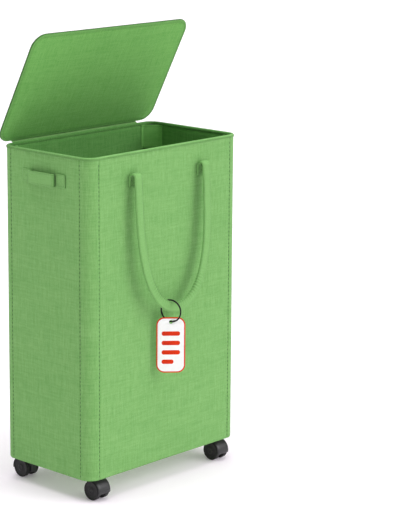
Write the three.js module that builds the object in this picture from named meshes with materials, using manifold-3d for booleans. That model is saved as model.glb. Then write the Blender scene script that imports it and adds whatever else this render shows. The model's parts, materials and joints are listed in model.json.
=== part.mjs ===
// Slim rolling laundry hamper with a hinged lid, two long strap handles and four twin-wheel casters.
// Millimetres. +Z is up, -Y is the front, and z = 0 is the floor.
import * as THREE from 'three';
import { mergeVertices } from 'three/addons/utils/BufferGeometryUtils.js';
import Module from 'manifold-3d';

const wasm = await Module();
wasm.setup();

// ---------------------------------------------------------------- driving dimensions
const GAP = 0.3;                    // clearance between pieces that touch
const CUT = 1;                      // how far a cutting shape reaches past the piece it cuts
const WIDTH = 400;                  // outer size of the fabric body along X
const DEPTH = 230;                  // outer size of the fabric body along Y
const HEIGHT = 600;                 // bottom hem to rim
const FLOOR_GAP = 43;               // floor to bottom hem
const CORNER_RADIUS = 24;
const SEAM_INSET = 24.5;            // corner seam, measured from the sharp corner
const FABRIC = 1.0;
const LINING = 0.8;
const BOARD = 2.4;

const RIM_SKIRT = 5;                // height of the rim binding
const BASE_RECESS = 4;              // the base sits this far above the bottom hem
const BASE_BOARD = 3;
const BASE_PLAY = 0.1;              // base to the inner face of the walls
const FLOOR_PAD = 4;
const PAD_PLAY = 0.7;               // floor pad to the lining

const ROD_RADIUS = 3;
const ROD_PLAY = 0.5;               // rod to the rounded corner of the lining
const POCKET_HEIGHT = 46;
const POCKET_ALONG_X = 23;          // how far a pocket reaches along the wide wall
const POCKET_ALONG_Y = 23;          // and along the narrow wall

const LID_WIDTH = 408;
const LID_DEPTH = 235;
const LID_RADIUS = 28;
const LID_OPEN = 62.5;              // degrees, as it stands at rest
const LID_RISE = 3.5;               // hinge line up to the lid's lower face
const LID_SETBACK = 2;              // hinge line to the lid's rear edge
const HINGE_BEHIND = 6;             // hinge line behind the back wall
const HINGE_BELOW = 3;              // hinge line below the rim
const HINGE_STRIP = { height: 26, margin: 10 };
const TAB = { width: 16, length: 14, inset: 5, thickness: 1.6 };

const STRAP_WIDTH = 19;
const STRAP = 4;                    // strap thickness
const STRAP_X = 91;                 // strap leg centre to the middle of the wall
const STRAP_DROP = 253;             // fold axis to the bottom of the hanging loop
const STRAP_FULLNESS = 3.5;         // how square the hanging loop is
const STRAP_LEAN = 3.2;             // degrees the loop hangs away from the wall
const STANDOFF = 18;                // wall to the front of the strap at its fold
const FOLD_TOP = 38;                // rim down to the top of the fold
const END_TAB = 8;                  // sewn strap end

const GRIP = {
  length: 111, raised: 66, height: 24, thickness: 2.5, standoff: 12, ramp: 5, turn: 1, below: 48.5,
};

const RING = { radius: 20.5, wire: 1.1, x: -18.3, drop: 17.1, turn: 76 };
const CARD = {
  width: 54, height: 106, radius: 15, thickness: 1.2, hole: 3.5, margin: 9, turn: 44, hang: 0.8,
};

const CASTER_X = 163.5;
const CASTER_Y = 82;
const TRAIL = 13.5;                 // swivel axis to axle
const WHEEL_RADIUS = 18.5;
const WHEEL_WIDTH = 9.5;
const WHEEL_START = 6;              // inner face of a wheel, from the caster's middle
const CASTER_WIDTH = 2 * (WHEEL_START + WHEEL_WIDTH);
const WHEEL = { edge: 1.2, rim: 4, bevel: 1, dish: 1.4 };
const AXLE_RADIUS = 2;
const AXLE_INSET = 2;               // axle end inside the wheel's outer face
const PIN_RADIUS = 3;
const PIN_CLEAR = 2;                // swivel pin end above the axle
const STUD_RADIUS = 4;
const STUD_SHORT = 0.2;             // stud end below the top of the base board
const FLANGE = { radius: 15, thickness: 2.4 };
const HOOD = { inner: 19.5, outer: 21, back: 40, front: 102 };   // fender radii, and its ends in degrees
const NECK = { radius: 7.5, height: 14 };
const CORE = { width: 11, wall: 3, below: 8, axle: 9.5, root: 0.5 };   // the hood's middle web
const BORE_PLAY = 0.3;

// ---------------------------------------------------------------- derived sizes
const HALF_X = WIDTH / 2;
const HALF_Y = DEPTH / 2;
const HEM_Z = FLOOR_GAP;
const RIM_Z = FLOOR_GAP + HEIGHT;
const WALL_TOP = RIM_Z - FABRIC - GAP;
const BOARD_IN = FABRIC + GAP;                    // insets from the outer face of the wall
const LINING_IN = BOARD_IN + BOARD + GAP;
const CAVITY_IN = LINING_IN + LINING;
const BASE_IN = LINING_IN + BASE_PLAY;
const BASE_Z = HEM_Z + BASE_RECESS;
const BASE_BOARD_Z = BASE_Z + FABRIC + GAP;
const LINING_Z = BASE_BOARD_Z + BASE_BOARD + GAP;
const PAD_Z = LINING_Z + LINING + GAP;
const PAD_TOP = PAD_Z + FLOOR_PAD;
const FOLD_RADIUS = (STANDOFF - GAP) / 2;
const FOLD_Y = HALF_Y + GAP + FOLD_RADIUS;
const FOLD_Z = RIM_Z - FOLD_TOP - FOLD_RADIUS;
const LEG_MIDDLE = FOLD_RADIUS - STRAP / 2;       // fold axis to the middle of the strap
const radians = THREE.MathUtils.degToRad;

// The hang tag juts out in front, so the body stands a little behind the middle of the footprint.
const backReach = FOLD_Y + FOLD_RADIUS + STRAP_DROP * Math.sin(radians(STRAP_LEAN));
const frontReach = FOLD_Y + LEG_MIDDLE + strapDrop(RING.x) * Math.sin(radians(STRAP_LEAN))
  + RING.radius * Math.sin(radians(RING.turn)) + RING.wire;
const BODY_Y = (frontReach - backReach) / 2;

// ---------------------------------------------------------------- materials
const material = (color, roughness, metalness = 0) =>
  new THREE.MeshStandardMaterial({ color, roughness, metalness });
const LINEN = material(0x86b974, 0.95);
const LINEN_INSIDE = material(0x6fa45f, 0.95);
const STRAP_WEB = material(0x88bb77, 0.9);
const FIBREBOARD = material(0x9c8f78, 0.85);
const BASE_PANEL = material(0x3b3b3a, 0.8);
const ROD = material(0x4c4e4c, 0.5);
const BLACK_PLASTIC = material(0x17181a, 0.45);
const WHEEL_RUBBER = material(0x101113, 0.7);
const STEEL = material(0xb9bcc0, 0.35, 1);
const RING_WIRE = material(0x141414, 0.4);
const CARDSTOCK = material(0xf4f2ee, 0.7);

// ---------------------------------------------------------------- geometry helpers
function toSolid(geometry) {
  const bare = geometry.clone();
  bare.deleteAttribute('normal');
  bare.deleteAttribute('uv');
  const merged = mergeVertices(bare, 1e-4);
  return new wasm.Manifold(new wasm.Mesh({
    numProp: 3,
    vertProperties: new Float32Array(merged.attributes.position.array),
    triVerts: new Uint32Array(merged.index.array),
  }));
}

function toGeometry(solid) {
  const mesh = solid.getMesh();
  const geometry = new THREE.BufferGeometry();
  geometry.setAttribute('position', new THREE.BufferAttribute(mesh.vertProperties, 3));
  geometry.setIndex(new THREE.BufferAttribute(mesh.triVerts, 1));
  geometry.computeVertexNormals();
  return geometry;
}

// A flat outline made into a plate from z0 to z1.
function plate(shape, z0, z1, curveSegments = 3) {
  const options = { depth: z1 - z0, bevelEnabled: false, curveSegments };
  return new THREE.ExtrudeGeometry(shape, options).translate(0, 0, z0);
}

function box(x0, x1, y0, y1, z0, z1) {
  return new THREE.BoxGeometry(x1 - x0, y1 - y0, z1 - z0)
    .translate((x0 + x1) / 2, (y0 + y1) / 2, (z0 + z1) / 2);
}

function roundedRect(halfX, halfY, radius) {
  const shape = new THREE.Shape();
  const x = halfX - radius;
  const y = halfY - radius;
  shape.absarc(x, y, radius, 0, Math.PI / 2);
  shape.absarc(-x, y, radius, Math.PI / 2, Math.PI);
  shape.absarc(-x, -y, radius, Math.PI, 1.5 * Math.PI);
  shape.absarc(x, -y, radius, 1.5 * Math.PI, 2 * Math.PI);
  shape.closePath();
  return shape;
}

// The body's outline, moved inwards by inset.
const bodyOutline = (inset) => roundedRect(HALF_X - inset, HALF_Y - inset, CORNER_RADIUS - inset);

// A tube that follows the body's outline between two insets.
function sleeve(outerInset, innerInset, z0, z1) {
  const shape = bodyOutline(outerInset);
  shape.holes.push(bodyOutline(innerInset));
  return plate(shape, z0, z1);
}

const cylinderZ = (x, y, radius, z0, z1, sides = 16) =>
  new THREE.CylinderGeometry(radius, radius, z1 - z0, sides)
    .rotateX(Math.PI / 2).translate(x, y, (z0 + z1) / 2);

const cylinderX = (radius, halfLength, y, z, sides = 16) =>
  new THREE.CylinderGeometry(radius, radius, 2 * halfLength, sides)
    .rotateZ(Math.PI / 2).translate(0, y, z);

const mirrored = (points, sx, sy) => points.map((p) => new THREE.Vector2(sx * p.x, sy * p.y));

const hamper = new THREE.Group();
hamper.position.y = BODY_Y;

function add(name, geometry, look, parent = hamper) {
  const mesh = new THREE.Mesh(geometry, look);
  mesh.name = name;
  parent.add(mesh);
  return mesh;
}

const SIDES = { front: -1, back: 1 };
const ENDS = { left: -1, right: 1 };
const CORNERS = Object.entries(SIDES).flatMap(([side, sy]) =>
  Object.entries(ENDS).map(([end, sx]) => ({ name: `${side}_${end}`, sx, sy })));

// ---------------------------------------------------------------- walls
function addWalls() {
  const panelX = HALF_X - SEAM_INSET - GAP;
  const panelY = HALF_Y - SEAM_INSET - GAP;
  const boardMargin = 2;
  const boardZ = [HEM_Z + boardMargin, WALL_TOP - boardMargin];
  const boardX = panelX - boardMargin;
  const boardY = panelY - boardMargin;
  const span = (sign, near, far) => (sign > 0 ? [near, far] : [-far, -near]);

  for (const [side, sy] of Object.entries(SIDES)) {
    const fabric = span(sy, HALF_Y - FABRIC, HALF_Y);
    const board = span(sy, HALF_Y - BOARD_IN - BOARD, HALF_Y - BOARD_IN);
    add(`${side}_panel`, box(-panelX, panelX, ...fabric, HEM_Z, WALL_TOP), LINEN);
    add(`${side}_board`, box(-boardX, boardX, ...board, ...boardZ), FIBREBOARD);
  }
  for (const [end, sx] of Object.entries(ENDS)) {
    const fabric = span(sx, HALF_X - FABRIC, HALF_X);
    const board = span(sx, HALF_X - BOARD_IN - BOARD, HALF_X - BOARD_IN);
    add(`${end}_panel`, box(...fabric, -panelY, panelY, HEM_Z, WALL_TOP), LINEN);
    add(`${end}_board`, box(...board, -boardY, boardY, ...boardZ), FIBREBOARD);
  }
}

// One side of a corner strip, seen from above, from the wide wall round to the narrow wall.
function cornerPath(inset, steps = 6) {
  const centre = new THREE.Vector2(HALF_X - CORNER_RADIUS, HALF_Y - CORNER_RADIUS);
  const radius = CORNER_RADIUS - inset;
  const points = [new THREE.Vector2(HALF_X - SEAM_INSET, HALF_Y - inset)];
  for (let i = 0; i <= steps; i++) {
    const angle = (Math.PI / 2) * (1 - i / steps);
    points.push(new THREE.Vector2(Math.cos(angle), Math.sin(angle)).multiplyScalar(radius).add(centre));
  }
  points.push(new THREE.Vector2(HALF_X - inset, HALF_Y - SEAM_INSET));
  return points;
}

function addCorners() {
  const strip = [...cornerPath(0), ...cornerPath(FABRIC).reverse()];

  const cavityX = HALF_X - CAVITY_IN - GAP;
  const cavityY = HALF_Y - CAVITY_IN - GAP;
  const run = Math.hypot(POCKET_ALONG_X, POCKET_ALONG_Y);
  const inX = FABRIC * run / POCKET_ALONG_Y;
  const inY = FABRIC * run / POCKET_ALONG_X;
  const pocket = [
    new THREE.Vector2(cavityX - POCKET_ALONG_X, cavityY),
    new THREE.Vector2(cavityX, cavityY - POCKET_ALONG_Y),
    new THREE.Vector2(cavityX, cavityY - POCKET_ALONG_Y - inY),
    new THREE.Vector2(cavityX - POCKET_ALONG_X - inX, cavityY),
  ];
  const pocketTop = RIM_Z - RIM_SKIRT - GAP;

  const toRod = (CORNER_RADIUS - CAVITY_IN - ROD_RADIUS - ROD_PLAY) * Math.SQRT1_2;
  const rodX = HALF_X - CORNER_RADIUS + toRod;
  const rodY = HALF_Y - CORNER_RADIUS + toRod;

  for (const { name, sx, sy } of CORNERS) {
    const stripShape = new THREE.Shape(mirrored(strip, sx, sy));
    const pocketShape = new THREE.Shape(mirrored(pocket, sx, sy));
    const rod = cylinderZ(sx * rodX, sy * rodY, ROD_RADIUS, PAD_TOP + GAP, pocketTop - GAP, 12);
    add(`${name}_corner_strip`, plate(stripShape, HEM_Z, WALL_TOP), LINEN);
    add(`${name}_rod_pocket`, plate(pocketShape, pocketTop - POCKET_HEIGHT, pocketTop), LINEN_INSIDE);
    add(`${name}_support_rod`, rod, ROD);
  }
}

function addLiningAndRim() {
  const bag = toSolid(plate(bodyOutline(LINING_IN), LINING_Z, WALL_TOP));
  const hollow = toSolid(plate(bodyOutline(CAVITY_IN), LINING_Z + LINING, RIM_Z));
  add('lining', toGeometry(bag.subtract(hollow)), LINEN_INSIDE);

  const outer = -GAP - FABRIC;
  const inner = CAVITY_IN + GAP + FABRIC;
  const channel = sleeve(-GAP, CAVITY_IN + GAP, RIM_Z - RIM_SKIRT - CUT, RIM_Z - FABRIC);
  const binding = sleeve(outer, inner, RIM_Z - RIM_SKIRT, RIM_Z);
  add('rim_binding', toGeometry(toSolid(binding).subtract(toSolid(channel))), LINEN);
}

// ---------------------------------------------------------------- base
function addBase() {
  const withStudHoles = (inset, z0, z1) => {
    const shape = bodyOutline(inset);
    for (const { sx, sy } of CORNERS) {
      const hole = new THREE.Path();
      hole.absarc(sx * CASTER_X, sy * CASTER_Y, STUD_RADIUS + BORE_PLAY, 0, 2 * Math.PI, true);
      shape.holes.push(hole);
    }
    return plate(shape, z0, z1, 5);
  };
  add('base_cover', withStudHoles(BASE_IN, BASE_Z, BASE_Z + FABRIC), LINEN_INSIDE);
  add('base_board', withStudHoles(BASE_IN, BASE_BOARD_Z, BASE_BOARD_Z + BASE_BOARD), BASE_PANEL);
  add('floor_pad', plate(bodyOutline(CAVITY_IN + PAD_PLAY), PAD_Z, PAD_TOP), LINEN_INSIDE);
}

// ---------------------------------------------------------------- lid
// Drawn closed, from the hinge line, then turned open.
function addLid() {
  const lid = new THREE.Group();
  lid.position.set(0, HALF_Y + HINGE_BEHIND, RIM_Z - HINGE_BELOW);
  lid.rotation.x = radians(-LID_OPEN);
  hamper.add(lid);

  const middleY = -LID_SETBACK - LID_DEPTH / 2;
  const lidPlate = (inset, z0, z1) => {
    const shape = roundedRect(LID_WIDTH / 2 - inset, LID_DEPTH / 2 - inset, LID_RADIUS - inset);
    return plate(shape, z0, z1).translate(0, middleY, 0);
  };
  const boardZ = LID_RISE + LINING + GAP;
  const coverZ = boardZ + BOARD + GAP;
  const top = coverZ + FABRIC;
  const cover = toSolid(lidPlate(0, LID_RISE, top));
  const inside = toSolid(lidPlate(FABRIC, LID_RISE - CUT, coverZ));
  add('lid_outer_cover', toGeometry(cover.subtract(inside)), LINEN, lid);
  add('lid_board', lidPlate(FABRIC + GAP, boardZ, boardZ + BOARD), FIBREBOARD, lid);
  add('lid_inner_cover', lidPlate(FABRIC + GAP, LID_RISE, LID_RISE + LINING), LINEN_INSIDE, lid);

  const tabY = -LID_SETBACK - LID_DEPTH + TAB.inset;
  const tabZ = top + GAP;
  const tab = box(-TAB.width / 2, TAB.width / 2, tabY, tabY + TAB.length, tabZ, tabZ + TAB.thickness);
  add('lid_pull_tab', tab, STRAP_WEB, lid);

  const stripX = LID_WIDTH / 2 - LID_RADIUS - HINGE_STRIP.margin;
  const stripY = HALF_Y + 2 * GAP + FABRIC;
  const stripTop = RIM_Z - HINGE_BELOW;
  const strip = box(-stripX, stripX, stripY, stripY + FABRIC, stripTop - HINGE_STRIP.height, stripTop);
  add('lid_hinge_strip', strip, LINEN);
}

// ---------------------------------------------------------------- long handles
// How far below the fold axis the middle of the hanging strap is, at a place x along the wall.
function strapDrop(x) {
  return STRAP_DROP * (1 - (x / STRAP_X) ** 2) ** (1 / STRAP_FULLNESS);
}

// The hanging loop's centre line, evenly spaced down the legs and round the bottom.
function strapCentreLine(steps = 16) {
  const half = [];
  for (let i = 0; i <= steps; i++) {
    const x = STRAP_X * Math.cos((Math.PI / 2) * (i / steps) ** (STRAP_FULLNESS / 2));
    half.push(new THREE.Vector2(-x, -strapDrop(x)));
  }
  const other = half.slice(0, -1).reverse().map((p) => new THREE.Vector2(-p.x, p.y));
  return [...half, ...other];
}

function strapOutline() {
  const line = strapCentreLine();
  const edge = (distance) => line.map((point, i) => {
    const before = line[Math.max(i - 1, 0)];
    const after = line[Math.min(i + 1, line.length - 1)];
    const along = i === 0 || i === line.length - 1
      ? new THREE.Vector2(0, point.x < 0 ? -1 : 1)
      : after.clone().sub(before).normalize();
    return new THREE.Vector2(-along.y, along.x).multiplyScalar(distance).add(point);
  });
  return new THREE.Shape([...edge(STRAP_WIDTH / 2), ...edge(-STRAP_WIDTH / 2).reverse()]);
}

// The half ring where a strap leg folds over towards the wall, round the X axis.
function foldRing(x) {
  const shape = new THREE.Shape();
  shape.absarc(0, 0, FOLD_RADIUS, 0, Math.PI);
  shape.absarc(0, 0, FOLD_RADIUS - STRAP, Math.PI, 0, true);
  shape.closePath();
  return plate(shape, -STRAP_WIDTH / 2, STRAP_WIDTH / 2, 5)
    .rotateX(Math.PI / 2).rotateZ(Math.PI / 2).translate(x, 0, 0);
}

// Built for the front wall; the back handle is the same piece turned round.
function addLongHandle(side, sy) {
  const wall = new THREE.Group();
  wall.rotation.z = sy > 0 ? Math.PI : 0;
  hamper.add(wall);

  const hanging = new THREE.Group();
  hanging.position.set(0, -FOLD_Y, FOLD_Z);
  wall.add(hanging);

  const lean = radians(-STRAP_LEAN);
  const loop = plate(strapOutline(), -STRAP / 2, STRAP / 2)
    .rotateX(Math.PI / 2).translate(0, -LEG_MIDDLE, 0).rotateX(lean);
  let handle = toSolid(loop);
  for (const x of [-STRAP_X, STRAP_X]) handle = handle.add(toSolid(foldRing(x).rotateX(lean)));
  add(`${side}_handle`, toGeometry(handle), STRAP_WEB, hanging);

  const tabTop = FOLD_Z - FOLD_RADIUS - GAP;
  for (const [end, sx] of Object.entries(ENDS)) {
    const x = (sy > 0 ? -sx : sx) * STRAP_X;
    const across = [x - STRAP_WIDTH / 2, x + STRAP_WIDTH / 2];
    const out = [-HALF_Y - GAP - STRAP, -HALF_Y - GAP];
    add(`${side}_handle_${end}_end`, box(...across, ...out, tabTop - END_TAB, tabTop), STRAP_WEB, wall);
  }
  return hanging;
}

// ---------------------------------------------------------------- hang tag
function addTag() {
  const lean = radians(STRAP_LEAN);
  const strapY = -FOLD_Y - LEG_MIDDLE * Math.cos(lean) - strapDrop(RING.x) * Math.sin(lean);
  const strapZ = FOLD_Z - strapDrop(RING.x) * Math.cos(lean);
  const step = 0.5;
  const slope = Math.atan((strapDrop(RING.x + step) - strapDrop(RING.x - step)) / (2 * step));
  const strapTop = strapZ + STRAP_WIDTH / 2 / Math.cos(slope);
  const ringZ = strapTop - RING.drop;

  const ring = new THREE.TorusGeometry(RING.radius, RING.wire, 6, 28).rotateX(Math.PI / 2);
  const ringMesh = add('tag_ring', ring, RING_WIRE);
  ringMesh.position.set(RING.x, strapY, ringZ);
  ringMesh.rotation.z = radians(-RING.turn);

  const outline = roundedRect(CARD.width / 2, CARD.height / 2, CARD.radius);
  const hole = new THREE.Path();
  hole.absarc(0, CARD.height / 2 - CARD.margin, CARD.hole, 0, 2 * Math.PI, true);
  outline.holes.push(hole);
  const card = plate(outline, -CARD.thickness / 2, CARD.thickness / 2, 5)
    .translate(0, CARD.margin - CARD.height / 2 - CARD.hang, 0)
    .rotateX(Math.PI / 2);
  const cardMesh = add('tag_card', card, CARDSTOCK);
  cardMesh.position.set(RING.x, strapY, ringZ - RING.radius);
  cardMesh.rotation.z = radians(-CARD.turn);
}

// ---------------------------------------------------------------- side grips
function addGrips() {
  const end = GRIP.length / 2;
  const foot = GRIP.raised / 2 + GRIP.ramp;
  const raised = GRIP.raised / 2;
  const low = HALF_X + GAP;
  const high = HALF_X + GRIP.standoff;
  const outer = [[low + GRIP.thickness, -end], [low + GRIP.thickness, -foot], [high, -raised],
    [high, raised], [low + GRIP.thickness, foot], [low + GRIP.thickness, end]];
  const innerFoot = foot - GRIP.turn;
  const innerRaised = raised - GRIP.turn;
  const inner = [[low, end], [low, innerFoot], [high - GRIP.thickness, innerRaised],
    [high - GRIP.thickness, -innerRaised], [low, -innerFoot], [low, -end]];
  const points = [...outer, ...inner].map(([x, y]) => new THREE.Vector2(x, y));
  const middle = RIM_Z - GRIP.below;
  for (const [name, sx] of Object.entries(ENDS)) {
    const shape = new THREE.Shape(mirrored(points, sx, 1));
    add(`${name}_grip`, plate(shape, middle - GRIP.height / 2, middle + GRIP.height / 2), STRAP_WEB);
  }
}

// ---------------------------------------------------------------- casters
function hoodGeometry() {
  const axleZ = WHEEL_RADIUS;
  const half = CASTER_WIDTH / 2;
  const top = BASE_Z - GAP - FLANGE.thickness - GAP;
  const fenderShape = new THREE.Shape();
  const start = radians(90 - HOOD.back);
  const stop = radians(90 + HOOD.front);
  fenderShape.absarc(0, 0, HOOD.outer, start, stop);
  fenderShape.absarc(0, 0, HOOD.inner, stop, start, true);
  fenderShape.closePath();
  const fender = plate(fenderShape, -half, half, 7)
    .rotateY(Math.PI / 2).rotateX(Math.PI / 2).translate(0, -TRAIL, axleZ);

  const webShape = new THREE.Shape();
  webShape.moveTo(PIN_RADIUS + CORE.wall, axleZ);
  webShape.lineTo(PIN_RADIUS + CORE.wall, top - CORE.below);
  webShape.lineTo(-TRAIL, axleZ + HOOD.inner + CORE.root);
  webShape.absarc(-TRAIL, axleZ, CORE.axle, Math.PI / 2, 1.5 * Math.PI);
  webShape.closePath();
  const web = plate(webShape, -CORE.width / 2, CORE.width / 2, 4).rotateY(Math.PI / 2).rotateX(Math.PI / 2);

  const wheelRoom = toSolid(cylinderX(HOOD.inner, half + CUT, -TRAIL, axleZ, 32));
  const neck = toSolid(cylinderZ(0, 0, NECK.radius, top - NECK.height, top));
  const pinBore = toSolid(cylinderZ(0, 0, PIN_RADIUS + BORE_PLAY, 0, top + CUT));
  const axleBore = toSolid(cylinderX(AXLE_RADIUS + BORE_PLAY, half, -TRAIL, axleZ));
  const hood = neck.subtract(wheelRoom).add(toSolid(fender)).add(toSolid(web));
  return toGeometry(hood.subtract(pinBore).subtract(axleBore));
}

// Lathe profile of one wheel: radius, then distance from its inner face.
function wheelGeometry() {
  const bore = AXLE_RADIUS + BORE_PLAY;
  const shoulder = WHEEL_RADIUS - WHEEL.edge;
  const rimIn = WHEEL_RADIUS - WHEEL.rim;
  const hubFace = WHEEL_WIDTH - WHEEL.dish;
  const profile = [
    [bore, 0], [shoulder, 0], [WHEEL_RADIUS, WHEEL.edge], [WHEEL_RADIUS, WHEEL_WIDTH - WHEEL.edge],
    [shoulder, WHEEL_WIDTH], [rimIn, WHEEL_WIDTH], [rimIn - WHEEL.bevel, hubFace], [bore, hubFace],
    [bore, 0],
  ].map(([r, a]) => new THREE.Vector2(r, a));
  return new THREE.LatheGeometry(profile, 24).rotateZ(-Math.PI / 2);
}

function stemGeometry() {
  const flangeZ = BASE_Z - GAP - FLANGE.thickness;
  const studTop = BASE_BOARD_Z + BASE_BOARD - STUD_SHORT;
  const pinEnd = WHEEL_RADIUS + AXLE_RADIUS + PIN_CLEAR;
  const profile = [
    [0, pinEnd], [PIN_RADIUS, pinEnd], [PIN_RADIUS, flangeZ], [FLANGE.radius, flangeZ],
    [FLANGE.radius, flangeZ + FLANGE.thickness], [STUD_RADIUS, flangeZ + FLANGE.thickness],
    [STUD_RADIUS, studTop], [0, studTop],
  ].map(([r, z]) => new THREE.Vector2(r, z));
  return new THREE.LatheGeometry(profile, 16).rotateX(Math.PI / 2);
}

// Drawn with the wheels trailing towards the front; the back pair is turned round.
function addCasters() {
  const hood = hoodGeometry();
  const wheel = wheelGeometry();
  const stem = stemGeometry();
  const axle = cylinderX(AXLE_RADIUS, CASTER_WIDTH / 2 - AXLE_INSET, -TRAIL, WHEEL_RADIUS, 12);
  for (const { name, sx, sy } of CORNERS) {
    const caster = new THREE.Group();
    caster.position.set(sx * CASTER_X, sy * CASTER_Y, 0);
    caster.rotation.z = sy > 0 ? Math.PI : 0;
    hamper.add(caster);
    add(`${name}_caster_stem`, stem, STEEL, caster);
    add(`${name}_caster_hood`, hood, BLACK_PLASTIC, caster);
    add(`${name}_caster_axle`, axle, STEEL, caster);
    for (const [end, ex] of Object.entries(ENDS)) {
      const side = sy > 0 ? -ex : ex;
      const mesh = add(`${name}_caster_${end}_wheel`, wheel, WHEEL_RUBBER, caster);
      mesh.position.set(side * WHEEL_START, -TRAIL, WHEEL_RADIUS);
      mesh.rotation.z = side > 0 ? 0 : Math.PI;
    }
  }
}

addWalls();
addCorners();
addLiningAndRim();
addBase();
addLid();
for (const [side, sy] of Object.entries(SIDES)) addLongHandle(side, sy);
addTag();
addGrips();
addCasters();

export default hamper;
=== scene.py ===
"""A slim rolling laundry hamper: its fabric, straps, tag and casters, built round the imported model.

Lengths are metres in the model's own frame: +Z up, -Y the front, z = 0 the floor.
"""
import json
import math
import bmesh
import bpy
import numpy as np
from mathutils import Matrix, Vector
from mathutils.geometry import tessellate_polygon


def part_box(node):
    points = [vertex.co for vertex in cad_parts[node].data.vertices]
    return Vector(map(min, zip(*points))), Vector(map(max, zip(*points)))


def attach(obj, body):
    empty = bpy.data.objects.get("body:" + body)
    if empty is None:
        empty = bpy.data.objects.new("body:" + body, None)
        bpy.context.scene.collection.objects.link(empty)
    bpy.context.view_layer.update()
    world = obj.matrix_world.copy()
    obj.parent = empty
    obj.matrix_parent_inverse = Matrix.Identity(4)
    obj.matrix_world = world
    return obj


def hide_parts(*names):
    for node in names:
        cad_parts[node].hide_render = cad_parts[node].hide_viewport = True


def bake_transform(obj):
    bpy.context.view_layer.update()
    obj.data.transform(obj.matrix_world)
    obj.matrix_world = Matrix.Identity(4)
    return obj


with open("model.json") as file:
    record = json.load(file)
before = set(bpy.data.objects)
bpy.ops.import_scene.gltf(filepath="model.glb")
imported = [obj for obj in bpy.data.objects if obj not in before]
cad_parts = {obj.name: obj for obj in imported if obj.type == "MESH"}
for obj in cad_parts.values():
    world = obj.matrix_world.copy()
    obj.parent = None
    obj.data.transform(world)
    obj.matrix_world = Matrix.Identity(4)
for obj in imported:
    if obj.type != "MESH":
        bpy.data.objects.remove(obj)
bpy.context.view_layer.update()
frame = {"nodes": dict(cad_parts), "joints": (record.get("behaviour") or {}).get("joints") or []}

MM = 0.001
TURN = 2 * math.pi
UP = Vector((0, 0, 1))
BODY = "hamper_body"


def low(node):
    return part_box(node)[0]


def high(node):
    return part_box(node)[1]


def joint(name):
    return next(j for j in frame["joints"] if j["name"] == name)


def joint_point(name):
    """A point on that joint's axis."""
    return Vector(joint(name)["pos_m"])


# ---------------- places that the frame gives
HALF_X = high("right_panel").x
HALF_Y = (high("back_panel").y - low("front_panel").y) / 2
MIDDLE_Y = (high("back_panel").y + low("front_panel").y) / 2
HEM = low("front_panel").z
RIM = high("rim_binding").z
SEAM_INSET = HALF_X - high("front_panel").x
CORNER_RADIUS = 24 * MM
FABRIC = 1 * MM
LINING_CLOTH = 0.8 * MM
SIDES = {"front": -1, "back": 1}
ENDS = {"left": -1, "right": 1}
CORNERS = [(f"{side}_{end}", sx, sy) for side, sy in SIDES.items() for end, sx in ENDS.items()]

STITCH = 7.8 * MM                   # from one stitch to the next on the long seams
FINE_STITCH = 4.2 * MM              # and on the bindings, straps and hems


# ---------------- shader graphs
def srgb(red, green, blue):
    """A colour from 0 to 255 a channel, as the linear colour that shaders use."""
    def linear(value):
        value /= 255
        return value / 12.92 if value <= 0.04045 else ((value + 0.055) / 1.055) ** 2.4
    return (linear(red), linear(green), linear(blue), 1)


class Graph:
    """A material's node graph, written a node at a time over the places on a piece."""

    def __init__(self, name, cloth=False):
        self.material = bpy.data.materials.new(name)
        self.material.use_nodes = True
        self.tree = self.material.node_tree
        self.tree.nodes.clear()
        if cloth:
            self.place = self.node("UVMap", uv_map="cloth").outputs[0]
        else:
            self.place = self.node("TexCoord").outputs["Object"]

    def node(self, kind, inputs=None, **settings):
        made = self.tree.nodes.new("ShaderNode" + kind)
        for key, value in settings.items():
            setattr(made, key, value)
        for key, value in (inputs or {}).items():
            if isinstance(value, bpy.types.NodeSocket):
                self.tree.links.new(value, made.inputs[key])
            else:
                made.inputs[key].default_value = value
        return made

    def maths(self, kind, *values):
        return self.node("Math", dict(enumerate(values)), operation=kind).outputs[0]

    def add(self, a, b):
        return self.maths("ADD", a, b)

    def times(self, a, b):
        return self.maths("MULTIPLY", a, b)

    def mix(self, factor, a, b):
        """A colour between two, which are sockets or 0 to 255 a channel."""
        a, b = (srgb(*c) if isinstance(c, tuple) else c for c in (a, b))
        return self.node("Mix", {"Factor": factor, 6: a, 7: b}, data_type="RGBA").outputs[2]

    def noise(self, scale, detail=2, rough=0.5, shift=0):
        """Noise about 0.5, with a scale for each direction or one for all."""
        scale = scale if isinstance(scale, tuple) else (scale,) * 3
        inputs = {"Vector": self.place, "Scale": scale, "Location": (shift, shift * 1.7, shift * 0.6)}
        stretched = self.node("Mapping", inputs).outputs[0]
        inputs = {"Vector": stretched, "Scale": 1, "Detail": detail, "Roughness": rough}
        return self.node("TexNoise", inputs).outputs[0]

    def level(self, value, low_in, high_in, low_out=0, high_out=1):
        inputs = {0: value, 1: low_in, 2: high_in, 3: low_out, 4: high_out}
        return self.node("MapRange", inputs).outputs[0]

    def surface(self, colour, rough, relief=None, depth=0, specular=0.5, **settings):
        """Ends the graph in a Principled shader. colour and rough are sockets or plain values."""
        inputs = {"Base Color": colour, "Roughness": rough, "Specular IOR Level": specular, **settings}
        if relief is not None:
            bump = {"Height": relief, "Distance": depth, "Strength": 1}
            inputs["Normal"] = self.node("Bump", bump).outputs[0]
        shader = self.node("BsdfPrincipled", inputs)
        self.node("OutputMaterial", {"Surface": shader.outputs[0]})
        return self.material


YARN = 0.95 * MM                    # from one thread of the weave to the next
# Painted shade: the dark green that the cloth is mixed towards in seams, folds and grooves.
PAINTED_SHADE_COLOUR = (40, 84, 30)
MIDDLE_OF_WEAVE = 0.62              # the mean of the weave's ridges; noise has 0.5


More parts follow.
